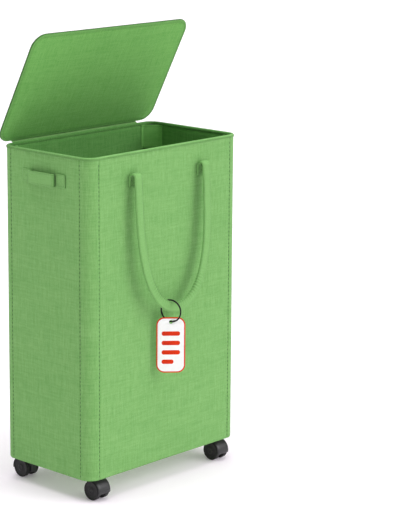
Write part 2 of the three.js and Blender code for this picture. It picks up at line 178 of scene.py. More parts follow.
def cloth_material(name, pale, deep, slub=1.0):
    """Linen-look plain weave on the mesh's own cloth map, whose unit is the metre."""
    g = Graph(name, cloth=True)
    across = g.node("SeparateXYZ", {0: g.place})
    turns = [g.times(across.outputs[i], math.pi / YARN) for i in (0, 1)]
    warp, weft = (g.maths("ABSOLUTE", g.maths("SINE", turn)) for turn in turns)
    over = g.node("TexChecker", {"Vector": g.place, "Scale": 1 / YARN}).outputs[1]
    weave = g.node("Mix", {0: over, 2: warp, 3: weft}).outputs[0]

    # Slubs are thick places in single threads, and bands are threads that took the dye differently.
    slub_short, slub_long, band_short, band_long = (1 / (size * MM) for size in (2.3, 26, 5, 150))
    up_slubs = g.noise((slub_short, slub_long, 1), 3)
    cross_slubs = g.noise((slub_long, slub_short, 1), 3, shift=7.3)
    up_bands = g.noise((band_short, band_long, 1), shift=3.1)
    cross_bands = g.noise((band_long, band_short, 1), shift=5.9)
    mottle = g.noise((22, 22, 1), shift=9.2)
    in_yarns = g.node("VectorMath", {0: g.place, 1: (1 / YARN,) * 3}, operation="MULTIPLY")
    crossing = g.node("VectorMath", {0: in_yarns.outputs[0]}, operation="FLOOR")
    grain = g.node("TexWhiteNoise", {"Vector": crossing.outputs[0]}, noise_dimensions="2D").outputs[0]

    tone = 0.5
    for source, gain in ((up_slubs, 1.3 * slub), (cross_slubs, 0.9 * slub), (up_bands, 0.5 * slub),
                         (cross_bands, 0.4 * slub), (mottle, 0.3), (weave, 0.5), (grain, 0.35)):
        middle = MIDDLE_OF_WEAVE if source is weave else 0.5
        tone = g.add(tone, g.times(g.maths("SUBTRACT", source, middle), gain))
    colour = g.mix(g.node("Clamp", {0: tone}).outputs[0], deep, pale)
    # Painted shade: a per-vertex attribute, 0 to 1, darkens the cloth in seams, folds and grooves.
    fold = g.node("Attribute", attribute_name="painted_shade").outputs[2]
    colour = g.mix(fold, colour, PAINTED_SHADE_COLOUR)

    relief = g.add(g.times(weave, 0.55), g.add(up_slubs, cross_slubs))
    rough = g.level(mottle, 0.3, 0.7, 0.86, 0.96)
    return g.surface(colour, rough, relief, 0.22 * MM, 0.2, **{"Sheen Weight": 0.08})


def thread_material(name, pale, deep):
    """Twisted sewing thread: slanting plies along each stitch."""
    g = Graph(name, cloth=True)
    inputs = {"Vector": g.place, "Scale": 420, "Distortion": 0.4}
    plies = g.node("TexWave", inputs, bands_direction="DIAGONAL").outputs[1]
    fuzz = g.noise((900, 2600, 1), 3)
    colour = g.mix(g.level(plies, 0.2, 0.9), deep, pale)
    rough = g.level(fuzz, 0.3, 0.7, 0.55, 0.8)
    return g.surface(colour, rough, g.add(plies, fuzz), 0.12 * MM, 0.4, **{"Sheen Weight": 0.1})


def plastic_material(name, colour, worn, rough=(0.3, 0.5), grain=1400, depth=0.05 * MM):
    """Moulded plastic with a spark-eroded grain, faint flow marks and rubbed places."""
    g = Graph(name)
    fine = g.noise(grain, 3, 0.6)
    flow = g.noise((60, 60, 190), 3, shift=2)
    scuff = g.node("TexVoronoi", {"Vector": g.place, "Scale": 260}, feature="DISTANCE_TO_EDGE").outputs[0]
    rubbed = g.level(g.times(flow, g.level(scuff, 0, 0.12, 1, 0.4)), 0.34, 0.62)
    return g.surface(g.mix(rubbed, colour, worn), g.level(flow, 0.3, 0.7, *rough), fine, depth)


def tread_material(name, colour, dusty):
    """Matt wheel tread and hub, a little dusty where it runs."""
    g = Graph(name)
    dust = g.noise(170, 4, 0.65)
    pits = g.noise(2100, 2, 0.7, shift=4)
    tone = g.mix(g.level(dust, 0.48, 0.75, 0, 0.8), colour, dusty)
    return g.surface(tone, g.level(dust, 0.3, 0.7, 0.42, 0.72), pits, 0.06 * MM, 0.4)


def steel_material(name):
    """Bright plated steel with fine turning marks and some dulling."""
    g = Graph(name)
    turned = g.noise((180, 180, 5200), 2, 0.7)
    dull = g.noise(210, 4, 0.6, shift=1.5)
    tone = g.mix(g.level(dull, 0.35, 0.7), (196, 199, 203), (142, 146, 150))
    return g.surface(tone, g.level(dull, 0.3, 0.75, 0.18, 0.42), turned, 0.02 * MM, Metallic=1)


def board_material(name):
    """Pressed fibreboard: matted fibres in two sizes."""
    g = Graph(name)
    fibres = g.noise((900, 900, 160), 4, 0.7)
    flakes = g.noise((160, 160, 700), 3, 0.6, shift=3)
    both = g.times(fibres, flakes)
    tone = g.mix(g.level(both, 0.12, 0.42), (112, 97, 76), (176, 158, 130))
    return g.surface(tone, g.level(fibres, 0.3, 0.7, 0.75, 0.92), both, 0.2 * MM)


def enamel_material(name, colour, chipped):
    """Black enamel on wire, rubbed bright in a few specks."""
    g = Graph(name)
    peel = g.noise(700)
    specks = g.noise(1500, 3, 0.7, shift=6)
    tone = g.mix(g.level(specks, 0.68, 0.78, 0, 0.7), colour, chipped)
    return g.surface(tone, g.level(peel, 0.3, 0.7, 0.4, 0.55), peel, 0.04 * MM, 0.3)


def paper_material(name, colour, shade, gloss=0.45):
    """Coated card with a faint fibre under the print."""
    g = Graph(name)
    fibre = g.noise((800, 800, 1500), 4, 0.7)
    cloud = g.noise(70, shift=8)
    tone = g.mix(g.level(g.add(fibre, cloud), 0.8, 1.2), shade, colour)
    rough = g.level(cloud, 0.3, 0.7, gloss - 0.08, gloss + 0.08)
    return g.surface(tone, rough, fibre, 0.03 * MM, 0.2)


LINEN = cloth_material("linen", (134, 185, 111), (106, 161, 86))
# Painted shade: the lining and the lid's inner face are the outer linen's green, made darker and deeper
# for the shade inside the body and under the lid.
LINEN_INSIDE_PAINTED_SHADE = cloth_material("linen_inside_painted_shade", (108, 165, 88), (82, 140, 66))
LINEN_LID_PAINTED_SHADE = cloth_material("linen_lid_painted_shade", (121, 183, 94), (94, 160, 71))
LINEN_EDGE = cloth_material("linen_edge", (130, 188, 106), (106, 168, 84), 0.7)
# Painted light: the corner pockets are lining cloth made paler, as they face the light.
LINEN_POCKET_PAINTED_LIGHT = cloth_material("linen_pocket_painted_light", (138, 204, 114), (114, 182, 90), 0.8)
STRAP_CLOTH = cloth_material("strap_linen", (132, 183, 110), (115, 169, 94), 0.7)
# Painted shade: the seam thread is the cloth's green, made dark for the shade in the seam's groove.
THREAD_PAINTED_SHADE = thread_material("seam_thread_painted_shade", (74, 122, 54), (42, 82, 31))
PALE_THREAD = thread_material("pale_thread", (112, 164, 92), (80, 132, 62))
STRAP_THREAD = thread_material("strap_thread", (128, 177, 108), (102, 153, 82))
HOOD_PLASTIC = plastic_material("hood_plastic", (37, 37, 39), (54, 54, 56))
PANEL_PLASTIC = plastic_material("panel_plastic", (58, 59, 58), (80, 80, 78), (0.6, 0.8), 900, 0.1 * MM)
ROD_PLASTIC = plastic_material("rod_plastic", (76, 78, 76), (98, 98, 94), (0.4, 0.55), 500)
TREAD = tread_material("wheel_tread", (23, 23, 24), (50, 48, 47))
STEEL = steel_material("plated_steel")
BOARD = board_material("fibreboard")
ENAMEL = enamel_material("ring_enamel", (10, 10, 10), (70, 70, 68))
CARD = paper_material("card_white", (255, 255, 255), (248, 248, 248))
PRINT = paper_material("card_print", (226, 50, 0), (212, 42, 0), 0.6)


# ---------------- meshes
CLOSED = 1e-9                       # closes a lattice where the cloth map has no weave to match
WELD = 0.001 * MM
ARC_STEPS = 6                       # along a plate's rounded edge


def finish_mesh(name, shape, material, painted_shade=None, sharp=None):
    """A smooth-shaded object with outward faces, sharp above an angle in degrees. shape is its
    vertices, its faces and the cloth place of each face corner, in metres."""
    vertices, faces, uv = shape
    mesh = bpy.data.meshes.new(name)
    mesh.from_pydata([tuple(v) for v in vertices], [], faces)
    mesh.uv_layers.new(name="cloth").data.foreach_set("uv", np.asarray(uv, np.float32).ravel())
    # Painted shade for the cloth shader, stored on each vertex.
    if painted_shade is not None:
        shade = mesh.attributes.new("painted_shade", "FLOAT", "POINT")
        shade.data.foreach_set("value", np.clip(painted_shade, 0, 1).astype(np.float32).ravel())
    build = bmesh.new()
    build.from_mesh(mesh)
    bmesh.ops.remove_doubles(build, verts=build.verts, dist=WELD)
    bmesh.ops.recalc_face_normals(build, faces=build.faces)
    build.to_mesh(mesh)
    build.free()
    mesh.materials.append(material)
    mesh.polygons.foreach_set("use_smooth", [True] * len(mesh.polygons))
    if sharp:
        mesh.set_sharp_from_angle(angle=math.radians(sharp))
    piece = bpy.data.objects.new(name, mesh)
    bpy.context.scene.collection.objects.link(piece)
    return piece


def stacked(*arrays):
    """Arrays that broadcast together, as one array of pairs or triples."""
    return np.stack(np.broadcast_arrays(*arrays), -1)


def travel(line):
    """How far along a line of points each one is."""
    return np.concatenate([[0], np.cumsum(np.linalg.norm(np.diff(line, axis=0), axis=1))])


def lattice(points, uv, around=None, along=None, caps=False):
    """Vertices, faces and cloth places over points in rows and columns. around and along close the
    columns and the rows on themselves, and are how far the cloth has travelled when they do."""
    rows, columns, _ = points.shape
    uv = np.asarray(uv, float)
    if around:
        uv = np.concatenate([uv, uv[:, :1] + (around, 0)], 1)
    if along:
        uv = np.concatenate([uv, uv[:1] + (0, along)], 0)
    r, c = np.indices((rows - (not along), columns - (not around))).reshape(2, -1)
    steps = ((0, 0), (0, 1), (1, 1), (1, 0))
    faces = np.stack([(r + i) % rows * columns + (c + j) % columns for i, j in steps], -1).tolist()
    corners = np.stack([uv[r + i, c + j] for i, j in steps], 1).reshape(-1, 2)
    if caps:
        for row in (0, rows - 1):
            faces.append([row * columns + i for i in range(columns)])
            corners = np.concatenate([corners, uv[row, :columns]])
    return points.reshape(-1, 3), faces, corners


def joined(*parts):
    """Several lattices as one set of vertices, faces and cloth places."""
    points, faces, uv, start = [], [], [], 0
    for part_points, part_faces, part_uv in parts:
        points.append(part_points)
        uv.append(part_uv)
        faces += [[v + start for v in face] for face in part_faces]
        start += len(part_points)
    return np.concatenate(points), faces, np.concatenate(uv)


def grid(name, points, uv, material, around, along=None, caps=False, painted_shade=None):
    return finish_mesh(name, lattice(points, uv, around, along, caps), material, painted_shade)


def repaint(piece, material, wanted):
    """Gives a second finish to the faces whose middle passes the test."""
    piece.data.materials.append(material)
    for polygon in piece.data.polygons:
        if wanted(polygon.center):
            polygon.material_index = 1


def place(piece, body, slot, *nodes):
    """The piece moves with a body and stands for some CAD nodes, which it hides. slot is not used."""
    if nodes:
        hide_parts(*nodes)
    if body:
        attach(piece, body)
    return piece


def ripple(a, b, seed):
    """A smooth uneven surface from -1 to 1, for soft cloth. a and b are in waves."""
    terms = ((1.0, 0.31, 0.0), (-0.43, 1.0, 1.3), (0.77, -0.83, 2.9), (1.37, 0.59, 4.1))
    return sum(np.sin(TURN * (p * a + q * b) + shift + seed) for p, q, shift in terms) / len(terms)


def slack(rise, long_wave, cross_wave, seed):
    """A lift for a band of soft cloth that doesn't lie quite flat."""
    return lambda s, w: rise * ripple(s / long_wave, w / cross_wave, seed)


def bell(distance, width):
    return np.exp(-((distance / width) ** 2))


class Outline:
    """A rounded rectangle seen from above, walked anticlockwise from the left end of its front."""

    def __init__(self, half_x, half_y, radius, middle=(0, 0)):
        self.half, self.radius, self.middle = (half_x, half_y), radius, Vector(middle)
        self.straights = [2 * (h - radius) for h in self.half] * 2
        self.arc = math.pi / 2 * radius
        self.length = sum(self.straights) + 4 * self.arc
        self.starts = [sum(self.straights[:k]) + k * self.arc for k in range(4)]

    def at(self, distance):
        """The place at that distance and the direction outwards."""
        distance %= self.length
        side = max(k for k in range(4) if self.starts[k] <= distance)
        rest = distance - self.starts[side]
        turn = side * math.pi / 2
        ahead = Vector((math.cos(turn), math.sin(turn)))
        out = Vector((ahead.y, -ahead.x))
        reach, depth = self.half[side % 2], self.half[1 - side % 2]
        if rest <= self.straights[side]:
            return self.middle + ahead * (rest - reach + self.radius) + out * depth, out
        angle = (rest - self.straights[side]) / self.radius
        facing = out * math.cos(angle) + ahead * math.sin(angle)
        corner = self.middle + ahead * (reach - self.radius) + out * (depth - self.radius)
        return corner + facing * self.radius, facing

    def inset(self, spot):
        """How far inside the outline that place is."""
        reach = [abs(spot[k] - self.middle[k]) - self.half[k] for k in (0, 1)]
        past = [value + self.radius for value in reach]
        return self.radius - math.hypot(*past) if min(past) > 0 else -max(reach)

    def marks(self, step, arc_steps=8, near=(), fine=()):
        """Distances to sample at: even steps, arcs, and finer offsets near some places."""
        found = []
        for start, straight in zip(self.starts, self.straights):
            count = max(1, round(straight / step))
            found += [start + straight * i / count for i in range(count)]
            found += [start + straight + self.arc * i / arc_steps for i in range(arc_steps)]
        clear = max(fine, default=0) * 1.1
        found = [s for s in found if all(abs(s - spot) > clear for spot in near)]
        return sorted({*found, *(spot + sign * gap for spot in near for gap in fine for sign in (1, -1))})

    def walls(self, marks, inset, heights):
        """Points at those distances, moved in by inset (rows by columns) at those heights."""
        base, out = (np.array(v) for v in zip(*((tuple(p), tuple(n)) for p, n in map(self.at, marks))))
        inset = np.broadcast_to(inset, (len(heights), len(marks)))
        flat = base[None] - out[None] * inset[..., None]
        level = np.broadcast_to(np.asarray(heights)[:, None, None], flat.shape[:2] + (1,))
        return np.concatenate([flat, level], -1)


body_outline = Outline(HALF_X, HALF_Y, CORNER_RADIUS, (0, MIDDLE_Y))
SEAMS = [start + offset for start, straight in zip(body_outline.starts, body_outline.straights)
         for offset in (SEAM_INSET - CORNER_RADIUS, straight - SEAM_INSET + CORNER_RADIUS)]


# ---------------- stitching
# The thread, and the length, width and height of a stitch in mm.
SEAM_SEWING = (THREAD_PAINTED_SHADE, 4.4, 1.15, 0.25)
INSIDE_SEWING = (THREAD_PAINTED_SHADE, 2.8, 0.5, 0.25)
EDGE_SEWING = (PALE_THREAD, 2.8, 0.55, 0.25)
TAB_SEWING = (PALE_THREAD, 1.9, 0.45, 0.1)
STRAP_SEWING = (STRAP_THREAD, 2.4, 0.35, 0.02)
STRAP_END_SEWING = (THREAD_PAINTED_SHADE, 2.1, 0.5, 0.05)
GRIP_SEWING = (PALE_THREAD, 2.3, 0.5, 0.08)
STITCH_RINGS, STITCH_SIDES = 7, 6
SUNK = 0.96                         # where stitches lie in a strap, of its half thickness


def stitches(name, frames, sewing):
    """Thread segments, each an arched capsule. frames lists (middle, along, out)."""
    thread, *sizes = sewing
    length, width, proud = (size * MM for size in sizes)
    rings, sides = STITCH_RINGS, STITCH_SIDES
    t = np.linspace(-1, 1, rings)[:, None]
    swell = np.sqrt(np.clip(1 - t ** 4, 0.06, 1))
    angle = np.arange(sides) * TURN / sides
    arch = proud - 0.75 * width * t ** 4
    reach = width / 2 * swell
    local = stacked(t * length / 2, np.cos(angle) * reach, np.sin(angle) * reach + arch)
    flat_uv = stacked(angle * width / 2, t * length / 2)
    capsule, unit, _ = lattice(local, flat_uv, around=CLOSED)
    unit += [list(range(sides)), list(range((rings - 1) * sides, rings * sides))]
    points, faces = [], []
    for index, (middle, along, out) in enumerate(frames):
        along, out = Vector(along).normalized(), Vector(out).normalized()
        axes = np.array([along, out.cross(along), out])
        points.append(np.array(middle) + capsule @ axes)
        faces += [[v + index * len(capsule) for v in face] for face in unit]
    uv = [flat_uv.reshape(-1, 2)[v] for face in unit for v in face] * len(frames)
    return finish_mesh(name, (np.concatenate(points), faces, uv), thread)


def seam_frames(inset, z0, z1):
    """Stitches up each corner seam."""
    found = []
    heights = [z0 + (i + 0.5) * STITCH for i in range(int((z1 - z0) / STITCH))]
    for point, out in map(body_outline.at, SEAMS):
        found += [((*(point - out * inset), z), UP, (*out, 0)) for z in heights]
    return found


def round_frames(outline, inset, z, facing=1, out=None):
    """Stitches all the way round an outline at one height, facing outwards, inwards or one way."""
    count = round(outline.length / FINE_STITCH)
    found = []
    for i in range(count):
        point, away = outline.at((i + 0.5) * outline.length / count)
        spot = point - away * inset
        found.append(((*spot, z), (-away.y, away.x, 0), out or (facing * away.x, facing * away.y, 0)))
    return found


def line_frames(start, end, out, pitch=FINE_STITCH):
    """Stitches along a straight line."""
    start, end = Vector(start), Vector(end)
    count = max(1, round((end - start).length / pitch))
    return [(start.lerp(end, (i + 0.5) / count), end - start, out) for i in range(count)]


def box_frames(corners, out, pitch):
    """A sewn box with a cross in it."""
    a, b, c, d = corners
    lines = ((a, b), (b, c), (c, d), (d, a), (a, c), (b, d))
    return [stitch for start, end in lines for stitch in line_frames(start, end, out, pitch)]


# ---------------- outer cover
def make_outer_cover():
    """One fabric shell round the boards, gathered into its eight corner seams."""
    fine = [gap * MM for gap in (0, 0.5, 1.0, 1.7, 2.7, 4.2)]
    marks = body_outline.marks(12 * MM, 8, SEAMS, fine)
    top = high("front_panel").z
    heights = np.linspace(HEM, top, round((top - HEM) / (STITCH / 4)))
    s, z = np.array(marks)[None], heights[:, None]
    gaps = np.abs(np.subtract.outer(marks, SEAMS))
    near = np.minimum(gaps, body_outline.length - gaps).min(1)[None]
    stitch = 0.5 + 0.5 * np.cos(TURN * (z - HEM) / STITCH)
    groove = 0.5 * MM * bell(near, 0.8 * MM) + 0.28 * MM * bell(near, 2.2 * MM) * stitch
    swell = -0.3 * MM * bell(near - 4.5 * MM, 3 * MM)
    pucker = 0.12 * MM * bell(near, 9 * MM) * ripple(s / (40 * MM), z / (17 * MM), 0.4)
    drift = 0.28 * MM * ripple(s / 0.21, z / 0.34, 2.0)
    hem_round = 0.45 * FABRIC * bell(z - HEM, 0.7 * MM)
    outside = body_outline.walls(marks, groove + swell + pucker + drift + hem_round, heights)
    inner_heights = np.linspace(top, HEM, 12)
    inside = body_outline.walls(marks, FABRIC + 0.1 * MM, inner_heights)
    points = np.concatenate([outside, inside])
    uv = stacked(s, np.concatenate([heights, 2 * top - inner_heights])[:, None])
    painted_shade = np.zeros(points.shape[:2])
    # Painted shade along the groove of each seam, darker at each stitch.
    painted_shade[:len(heights)] = (0.16 + 0.16 * stitch) * bell(near, 1.1 * MM)
    cover = grid("outer_cover", points, uv, LINEN, body_outline.length, 2 * (top - HEM), painted_shade=painted_shade)
    corners = [f"{name}_corner_strip" for name, _, _ in CORNERS]
    place(cover, BODY, "outer_fabric", *(f"{side}_panel" for side in (*SIDES, *ENDS)), *corners)
    frames = seam_frames(0.42 * MM, HEM + 3 * MM, RIM - 9 * MM)
    place(stitches("seam_stitches", frames, SEAM_SEWING), BODY, "outer_fabric")


def make_rim_binding():
    """The folded tape over the top edge of the walls, with a stitch line through both sides."""
    foot = low("rim_binding").z
    stitch_z = foot + 2 * MM
    outer = high("rim_binding").x - HALF_X
    inner = HALF_X - high("lining").x + LINING_CLOTH + 0.3 * MM + FABRIC
    half = (outer + inner) / 2
    centre = (inner - outer) / 2
    count = 3 * round(body_outline.length / FINE_STITCH)
    marks = np.arange(count) * body_outline.length / count
    beat = np.cos(TURN * np.arange(count) / 3)[None]

    def side(radius, steps):
        """One face of the tape as inset and height, up the front, over the top and down the back."""
        crown = [(centre - radius * math.cos(a), RIM - half + radius * math.sin(a))
                 for a in (math.pi * i / steps for i in range(steps + 1))]
        drops = [foot + (RIM - half - foot) * i / 3 for i in range(3)]
        return ([(centre - radius, z) for z in drops] + crown
                + [(centre + radius, z) for z in reversed(drops)])

    face = side(half, 12)
    section = np.array(face + side(half - FABRIC, 8)[::-1])
    inset, z = section[:, :1], section[:, 1:]
    outside = (np.arange(len(section)) < len(face))[:, None]
    dent = 0.16 * MM * bell(z - stitch_z, 1.3 * MM) * outside
    wave = 0.12 * MM * ripple(marks[None] / 0.07, z / 0.05, 1.1) * outside
    moved = inset + np.where(inset < centre, 1, -1) * (dent * (1.2 + beat) + wave)
    points = body_outline.walls(marks, moved, section[:, 1])
    run = travel(section)
    # Painted shade: a dark line along the stitching and along the tape's lower edge, strongest on the
    # outer side.
    hem_shade = np.where(inset < centre, 0.5, 0.1) * bell(z - foot, 0.6 * MM)
    painted_shade = np.broadcast_to((0.35 * bell(z - stitch_z, 0.8 * MM) + hem_shade) * outside, points.shape[:2])
    binding = grid("rim_tape", points, stacked(marks[None], run[:, None]), LINEN, body_outline.length,
                   run[-1] + FABRIC, painted_shade=painted_shade)
    # The tape's inner half takes the darker lining cloth, which is painted shade of the inside.
    repaint(binding, LINEN_INSIDE_PAINTED_SHADE, lambda spot: body_outline.inset(spot) > centre + 0.35 * half)
    place(binding, BODY, "outer_fabric", "rim_binding")
    frames = round_frames(body_outline, -outer + 0.1 * MM, stitch_z)
    frames += round_frames(body_outline, inner - 0.1 * MM, stitch_z, -1)
    place(stitches("rim_stitches", frames, EDGE_SEWING), BODY, "outer_fabric")


# ---------------- bands of cloth along a path
class Path:
    """A dense line with its direction and the way its face looks."""

    def __init__(self, points, outs):
        self.points = np.array([tuple(p) for p in points], float)
        self.outs = np.array([tuple(o) for o in outs], float)
        self.travel = travel(self.points)
        self.length = self.travel[-1]
        self.ways = np.gradient(self.points, self.travel, axis=0)

    def at(self, distances):
        """Points, directions and facings at those distances, as unit frames."""
        def between(values):
            return np.stack([np.interp(distances, self.travel, values[:, k]) for k in range(3)], -1)
        points, ways, outs = between(self.points), between(self.ways), between(self.outs)
        ways /= np.linalg.norm(ways, axis=1, keepdims=True)
        outs -= ways * (outs * ways).sum(1, keepdims=True)
        outs /= np.linalg.norm(outs, axis=1, keepdims=True)
        return points, ways, outs

    def frames(self, across, lift, skip=0.0):
        """Two rows of stitches along the line, across to either side of it and off its face by lift.
        skip is how much of each end goes without."""
        span = self.length - 2 * skip
        count = max(1, round(span / FINE_STITCH))
        points, ways, outs = self.at(skip + (np.arange(count) + 0.5) * span / count)
        turned = outs * math.copysign(1, lift)
        return [tuple(Vector(v) for v in stitch) for side in (-across, across)
                for stitch in zip(points + np.cross(ways, outs) * side + outs * lift, ways, turned)]

    def box(self, start, stop, half_width, lift):
        """The corners of a box between two distances along the line, and the way its face looks."""
        points, ways, outs = self.at(np.array([start, stop]))
        side = np.cross(ways, outs)
        corners = [Vector(points[i] + side[i] * half_width * sign + outs[i] * lift)
                   for i, sign in ((0, -1), (0, 1), (1, 1), (1, -1))]
        return corners, Vector(outs[0])


def filleted(corners, radius, steps=6):
    """A line through corners, in a plane, with each inner corner rounded off."""
    corners = [Vector(c) for c in corners]
    found = [corners[0]]
    for before, corner, after in zip(corners, corners[1:], corners[2:]):
        back, ahead = before - corner, after - corner
        reach = radius * math.tan((math.pi - back.angle(ahead)) / 2)
        cut = min(reach, back.length * 0.48, ahead.length * 0.48)
        start, stop = corner + back.normalized() * cut, corner + ahead.normalized() * cut
        for i in range(steps + 1):
            t = i / steps
            found.append(start.lerp(corner, t).lerp(corner.lerp(stop, t), t))
    return found + [corners[-1]]


def flat_path(corners, radius, side):
    """A filleted line, as a path whose face is square to side."""
    points = filleted(corners, radius)
    dense = []
    for a, b in zip(points, points[1:]):
        count = max(1, int((b - a).length / (1 * MM)))
        dense += [a.lerp(b, i / count) for i in range(count)]
    dense.append(points[-1])
    ways = np.gradient(np.array([tuple(p) for p in dense]), axis=0)
    return Path(dense, np.cross(np.array(side)[None], ways))


def band(name, path, width, thick, material, across, step, seam, lift=None, puff=0, shade=None):
    """A closed band of cloth, with so many samples across and one at each step along. seam is how far
    in from each edge a stitch line pulls it down and darkens it with painted shade, lift(travel, across)
    raises its face, puff rounds its middle and shade(travel, across) is how much painted shade darkens a
    fold."""
    distances = np.linspace(0, path.length, max(2, round(path.length / step)) + 1)
    points, ways, outs = path.at(distances)
    sides = np.cross(ways, outs)
    edge = 0.42 * thick
    near_seam = [width / 2 - seam + gap * MM for gap in (-0.7, -0.35, 0, 0.35, 0.7)]
    flat = np.linspace(edge - width / 2, width / 2 - edge, across)
    flat = np.sort([*flat, *near_seam, *np.negative(near_seam)])
    corner = [(width / 2 - edge * (1 - math.cos(a)), thick / 2 - edge * (1 - math.sin(a)))
              for a in np.linspace(math.pi / 2, math.pi / 6, 3)]
    half = [(w, thick / 2) for w in flat] + corner + [(w, -h) for w, h in corner[::-1]]
    loop = np.array(half + [(-w, -h) for w, h in half])
    s, w = distances[:, None], loop[None, :, 0]
    pulled = bell(np.abs(w) - (width / 2 - seam), 0.55 * MM)
    face = loop[None, :, 1] * (1 + puff * (1 - (2 * w / width) ** 2)) * (1 - 0.12 * pulled)
    raised = face + (lift(s, w) if lift else 0 * s)
    painted_shade = 0.1 * pulled + (shade(s, w) if shade else 0 * s)
    shape = points[:, None] + sides[:, None] * w[..., None] + outs[:, None] * raised[..., None]
    lap = travel(loop)
    round_trip = lap[-1] + np.linalg.norm(loop[0] - loop[-1])
    return grid(name, shape, stacked(lap[None], s), material, round_trip, caps=True, painted_shade=painted_shade)


# ---------------- inside the body
def make_lining():
    """A loose bag of thinner cloth, with its floor, inside the boards."""
    outer = HALF_X - high("lining").x
    inner = outer + LINING_CLOTH
    under, top = low("lining").z, high("lining").z
    over = under + LINING_CLOTH
    middle = CORNER_RADIUS - 0.5 * MM
    marks = body_outline.marks(9 * MM, 6)
    inside = [(middle, over), (12 * MM, over), (inner + 1.2 * MM, over),
              (inner + 0.3 * MM, under + 1.4 * MM)]
    inside += [(inner, z) for z in np.linspace(under + 5 * MM, top, 46)]
    outside = [(outer, z) for z in np.linspace(top, under, 5)] + [(12 * MM, under), (middle, under)]
    section = np.array(inside + outside)
    s, z = np.array(marks)[None], section[:, 1:2]
    loose = np.clip((z - under - 30 * MM) / (80 * MM), 0, 1) * np.clip((top - z) / (40 * MM), 0, 1)
    folds = 0.55 * MM * (1 + ripple(s / (95 * MM), z / 0.42, 0.7)) * loose
    folds[len(inside):] = 0
    points = body_outline.walls(marks, section[:, :1] + folds, section[:, 1])
    # Painted shade darkens the lining along its corner seams.
    corner_seams = np.array(body_outline.starts) + 6 * MM
    near = np.abs(s - corner_seams[:, None]).min(0)
    painted_shade = np.broadcast_to(0.5 * bell(near, 1.6 * MM)[None], points.shape[:2])
    lining = grid("lining_bag", points, stacked(s, travel(section)[:, None]), LINEN_INSIDE_PAINTED_SHADE,
                  body_outline.length, caps=True, painted_shade=painted_shade)
    place(lining, BODY, "lining", "lining")


POCKET_FLAP = 5 * MM                # sewn to the wall at each end of a pocket
POCKET_HEM = 2.5 * MM


def make_rod_pockets():
    """A stitched panel across each inside corner that holds the top of a support rod."""
    for name, sx, sy in CORNERS:
        node = f"{name}_rod_pocket"
        lowest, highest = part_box(node)
        near_x, far_x = sorted((lowest.x, highest.x), key=abs)
        near_y, far_y = sorted((lowest.y, highest.y), key=lambda y: abs(y - MIDDLE_Y))
        z = (lowest.z + highest.z) / 2
        inward = Vector((-sx, -sy, 0)) * 0.4 * MM
        corners = [Vector((x, y, z)) + inward for x, y in (
            (near_x - sx * POCKET_FLAP, far_y), (near_x, far_y), (far_x, near_y),
            (far_x, near_y - sy * POCKET_FLAP))]
        if sx * sy < 0:
            corners.reverse()
        path = flat_path(corners, 4 * MM, UP)
        height = highest.z - lowest.z
        pocket = band(f"{name}_pocket", path, height, 1.1 * MM, LINEN_POCKET_PAINTED_LIGHT, 14, 2.5 * MM,
                      POCKET_HEM, slack(0.5 * MM, 60 * MM, 70 * MM, sx + 2 * sy))
        place(pocket, BODY, "lining", node)
        facing = Vector(path.at(np.array([path.length / 2]))[2][0])
        frames = path.frames(POCKET_HEM - height / 2, math.copysign(0.5 * MM, facing.dot(inward)))
        place(stitches(f"{name}_pocket_stitches", frames, INSIDE_SEWING), BODY, "lining")


def rounded_plate(name, outline, section, material, relief, shade=None):
    """A shell whose section runs, as (inset, height), from its lower face's flat middle round the
    edge to its upper face's. Both ends of the section have the outline's own radius as inset.
    relief(points) raises a place and shade(inset, height) is how much painted shade darkens a crease."""
    section = np.array(section)
    points = outline.walls(outline.marks(12 * MM, 8), section[:, :1], section[:, 1])
    # The ring closes on itself, so its last column is added by hand with its true cloth place.
    closing = np.concatenate([points[:, -1:], points[:, :1]], 1)
    parts = [lattice(ring, ring[..., :2]) for ring in (points, closing)]
    flats = [2 * (h - outline.radius) for h in outline.half]
    xs, ys = (np.linspace(-flat / 2, flat / 2, max(1, round(flat / (12 * MM))) + 1) for flat in flats)
    x, y = np.meshgrid(xs + outline.middle[0], ys + outline.middle[1])
    for end in (0, -1):
        face = np.stack([x, y, np.full_like(x, section[end, 1])], -1)
        parts.append(lattice(face, face[..., :2]))
    vertices, faces, uv = joined(*parts)
    painted_shade = None
    if shade:
        painted_shade = shade(np.array([outline.inset(v) for v in vertices]), vertices[:, 2])
    vertices[:, 2] += relief(vertices)
    return finish_mesh(name, (vertices, faces, uv), material, painted_shade)


def edge_arc(inset, z, radius, start, stop):
    """Part of a rounded edge about (inset, z). 0 degrees faces out and 90 up."""
    angles = [math.radians(start + (stop - start) * i / ARC_STEPS) for i in range(ARC_STEPS + 1)]
    return [(inset - radius * math.cos(a), z + radius * math.sin(a)) for a in angles]


def make_floor_pad():
    """A stiff insert in the bottom, padded a little and covered in lining cloth."""
    lowest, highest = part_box("floor_pad")
    top = highest.z
    play = HALF_X - highest.x
    radius = CORNER_RADIUS - play
    outline = Outline(highest.x, HALF_Y - play, radius, (0, MIDDLE_Y))
    edge = (top - lowest.z) / 2
    middle = (top + lowest.z) / 2
    section = [(radius, lowest.z), (8 * MM, lowest.z)] + edge_arc(edge, middle, edge, -90, 90)
    section += [(4 * MM, top - 0.5 * MM), (6 * MM, top - 0.2 * MM), (10 * MM, top), (radius, top)]

    def crown(points):
        upper = np.clip((points[:, 2] - middle) / edge, 0, 1)
        return upper * 0.35 * MM * ripple(points[:, 0] / 0.23, points[:, 1] / 0.19, 0.3)

    pad = rounded_plate("floor_pad_cloth", outline, section, LINEN_INSIDE_PAINTED_SHADE, crown)
    place(pad, BODY, "lining", "floor_pad")
    frames = round_frames(outline, 4 * MM, top - 0.45 * MM, out=UP)
    place(stitches("floor_pad_stitches", frames, INSIDE_SEWING), BODY, "lining")


